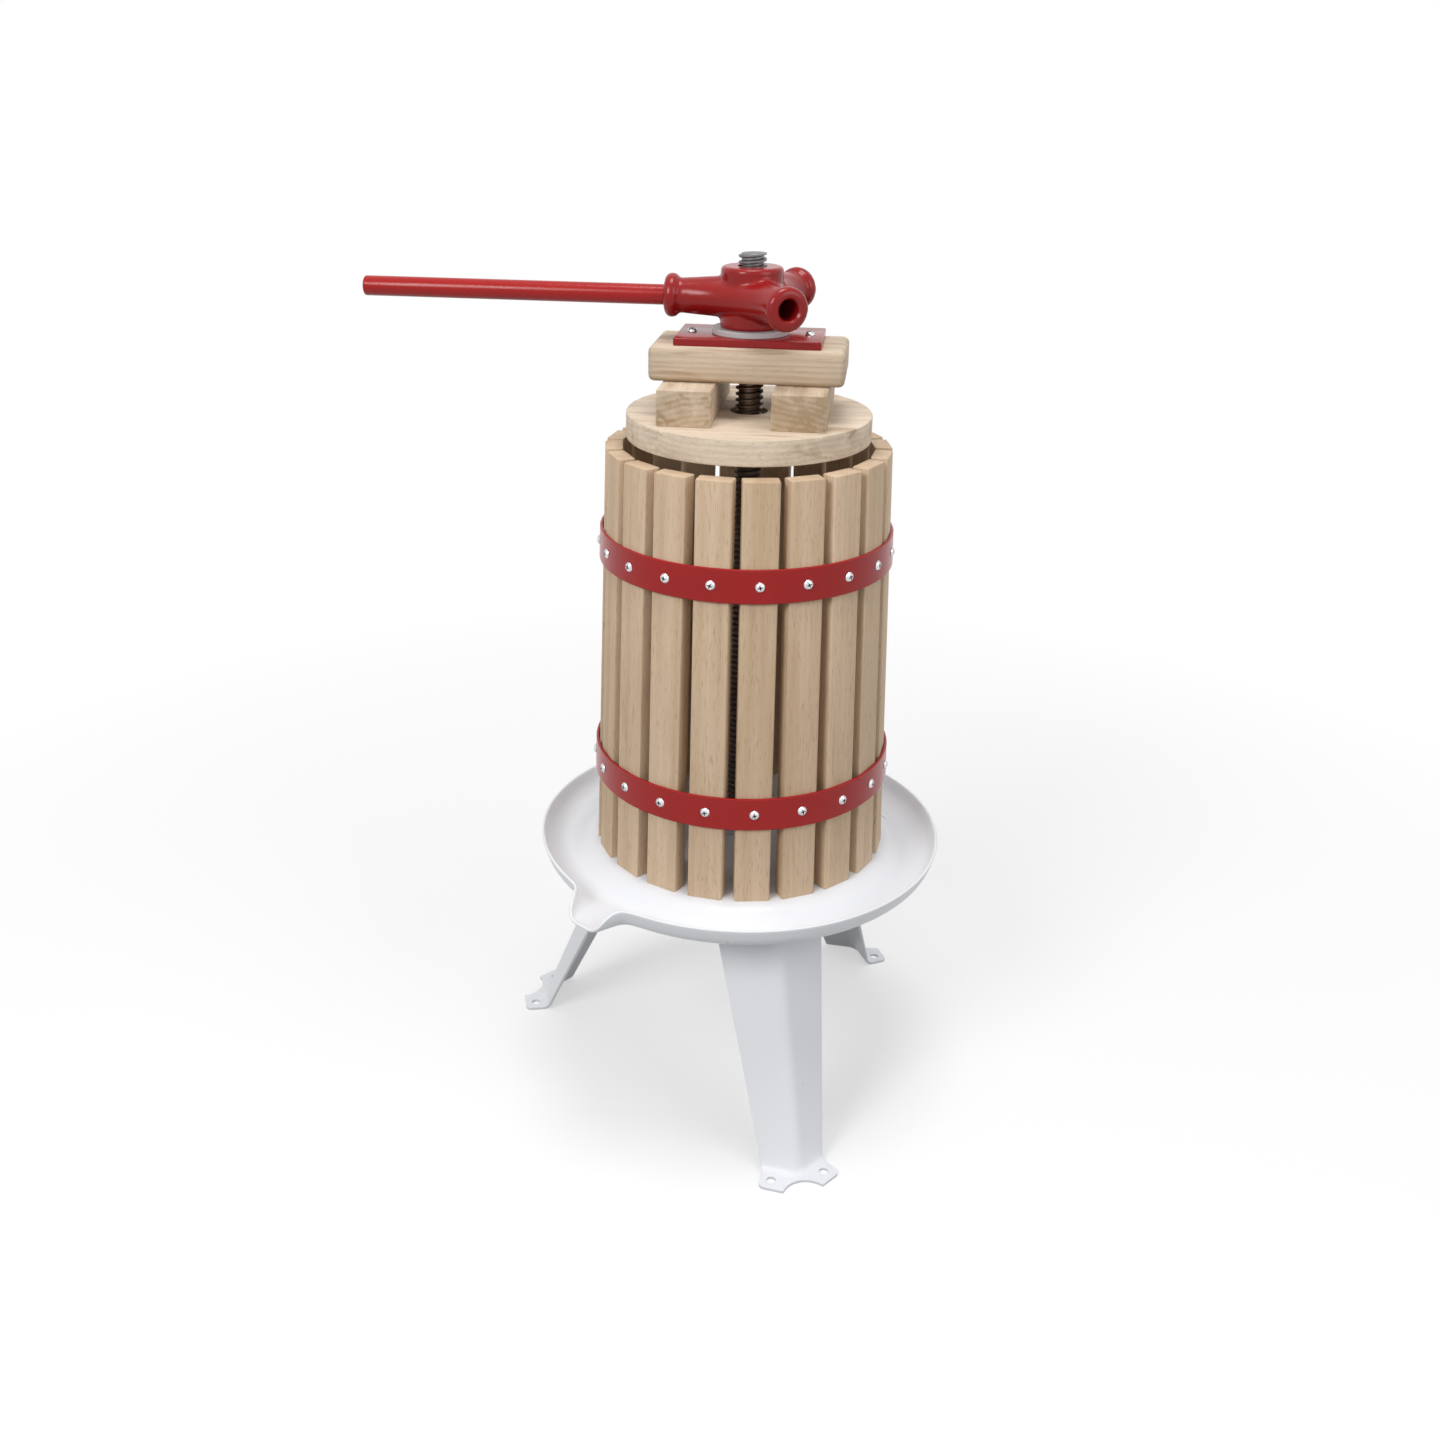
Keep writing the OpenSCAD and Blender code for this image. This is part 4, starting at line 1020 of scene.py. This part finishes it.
for turn in SOCKET_TURNS:
    add_closed(bm, [(0, SOCKET_FLOOR), (SOCKET_R, SOCKET_FLOOR),
                    (SOCKET_R, ARM_REACH - SOCKET_MOUTH), (mouth_r, ARM_REACH),
                    (mouth_r, 2 * ARM_REACH), (0, 2 * ARM_REACH)], ARM_STEPS,
               at_sockets @ azimuth(turn) @ lying)
drill = scratch_object(bm, "head drill")
bore = cast.modifiers.new("bore", "BOOLEAN")
bore.operation = "DIFFERENCE"
bore.solver = "EXACT"
bore.object = drill
bm = evaluated_copy(cast)
for done in (casting, cast, drill):
    bpy.data.objects.remove(done)
place(bm, "head_casting", "head", deep_red, ["head_hub"], sharp=35)

# Handle
# A plain steel bar with eased ends, enamelled red, pushed into the left socket by hand.

HANDLE_R = 6.5 * MM
HANDLE_INNER = 15.3 * MM
HANDLE_END = 255 * MM
HANDLE_EASE = 1.2 * MM
HANDLE_TURN = -90
HANDLE_STEPS = 40

bm = bmesh.new()
end_r = HANDLE_R - HANDLE_EASE
bar = [(0, HANDLE_INNER), (end_r, HANDLE_INNER), (HANDLE_R, HANDLE_INNER + HANDLE_EASE)]
bar += [(HANDLE_R, HANDLE_INNER + (HANDLE_END - HANDLE_INNER) * t) for t in (0.25, 0.5, 0.75)]
bar += arc((end_r, HANDLE_END - HANDLE_EASE), HANDLE_EASE, 0, math.pi / 2, 4) + [(0, HANDLE_END)]
add_closed(bm, bar, HANDLE_STEPS, at_sockets @ azimuth(HANDLE_TURN) @ lying)
place(bm, "handle_rod", "handle", red_enamel, ["handle_bar"])

# Floor and light
# A pale floor that keeps the press's shadow and fades to white away from it, a white surround that
# only the camera and mirrors see, and soft lamps above.

FLOOR_BOUNCE = (0.28, 0.28, 0.28, 1)
FLOOR_WHITE = (0.98, 0.98, 0.98, 1)
SHADOW_NEAR = 0.32
SHADOW_FAR = 0.95
FLOOR_R = 30
ROOM_LIGHT = 0.38
WHITE = (1, 1, 1, 1)
LAMP_AIM = Vector((0, 0, 0.3))
LAMPS = (("key lamp", (-0.9, -1.5, 1.5), 0.9, 20), ("fill lamp", (1.5, -0.9, 1.2), 1.2, 8),
         ("top lamp", (0.05, -0.1, 2.3), 0.9, 17))


def seen_straight(tree):
    """A factor that is 1 for what the camera sees straight, in a gloss or through glass."""
    path = put(tree, "ShaderNodeLightPath")
    seen = put(tree, "ShaderNodeMath",
               {0: path.outputs["Is Camera Ray"], 1: path.outputs["Is Glossy Ray"]},
               operation="MAXIMUM")
    return put(tree, "ShaderNodeMath",
               {0: seen.outputs[0], 1: path.outputs["Is Transmission Ray"]},
               operation="MAXIMUM").outputs[0]


bm = bmesh.new()
bmesh.ops.create_circle(bm, cap_ends=True, radius=FLOOR_R, segments=96)
mesh = bpy.data.meshes.new("floor")
bm.to_mesh(mesh)
bm.free()
floor = bpy.data.objects.new("floor", mesh)
bpy.context.scene.collection.objects.link(floor)
floor_paint, tree, shader = blank_material("floor paint")
shader.inputs["Base Color"].default_value = FLOOR_BOUNCE
shader.inputs["Roughness"].default_value = 0.9
shown = put(tree, "ShaderNodeBsdfDiffuse", {"Color": FLOOR_WHITE})
glow = put(tree, "ShaderNodeEmission", {"Color": WHITE, "Strength": 1.0})
where = put(tree, "ShaderNodeTexCoord")
away = put(tree, "ShaderNodeVectorMath", {0: where.outputs["Object"]}, operation="LENGTH")
fade = put(tree, "ShaderNodeMapRange",
           {"Value": away.outputs["Value"], "From Min": SHADOW_NEAR, "From Max": SHADOW_FAR,
            "To Min": 0.5, "To Max": 1.0})
lit = put(tree, "ShaderNodeMixShader",
          {0: fade.outputs["Result"], 1: shown.outputs[0], 2: glow.outputs[0]})
blend = put(tree, "ShaderNodeMixShader",
            {0: seen_straight(tree), 1: shader.outputs["BSDF"], 2: lit.outputs[0]})
tree.links.new(blend.outputs[0], tree.nodes["Material Output"].inputs["Surface"])
floor.data.materials.append(floor_paint)

world = bpy.data.worlds.new("studio")
bpy.context.scene.world = world
world.use_nodes = True
tree = world.node_tree
tree.nodes.clear()
white = put(tree, "ShaderNodeBackground", {"Color": WHITE, "Strength": 1.0})
room = put(tree, "ShaderNodeBackground", {"Color": WHITE, "Strength": ROOM_LIGHT})
sky = put(tree, "ShaderNodeMixShader",
          {0: seen_straight(tree), 1: room.outputs[0], 2: white.outputs[0]})
put(tree, "ShaderNodeOutputWorld", {"Surface": sky.outputs[0]})

for name, spot, size, power in LAMPS:
    lamp = bpy.data.lights.new(name, "AREA")
    lamp.shape = "DISK"
    lamp.size = size
    lamp.energy = power
    holder = bpy.data.objects.new(name, lamp)
    holder.location = spot
    holder.rotation_euler = (LAMP_AIM - Vector(spot)).to_track_quat("-Z", "Y").to_euler()
    bpy.context.scene.collection.objects.link(holder)

# Camera
# Where the photograph was taken from: a little right of the front and above the basket's top.

CAMERA_AT = (0.0914, -0.9493, 0.7014)
CAMERA_TURN = math.radians(8.14)
CAMERA_TILT = math.radians(70.705)
CAMERA_ROLL = math.radians(0.533)
LENS_LENGTH = 37.33
LENS_SHIFT = (0.0278, -0.1)

lens = bpy.data.cameras.new("camera")
lens.lens = LENS_LENGTH
lens.sensor_width = 36
lens.shift_x, lens.shift_y = LENS_SHIFT
camera = bpy.data.objects.new("camera", lens)
camera.matrix_world = (Matrix.Translation(CAMERA_AT) @ Matrix.Rotation(CAMERA_TURN, 4, "Z")
                       @ Matrix.Rotation(CAMERA_TILT, 4, "X")
                       @ Matrix.Rotation(CAMERA_ROLL, 4, "Z"))
bpy.context.scene.collection.objects.link(camera)
bpy.context.scene.camera = camera
bpy.context.scene.view_settings.view_transform = "Standard"
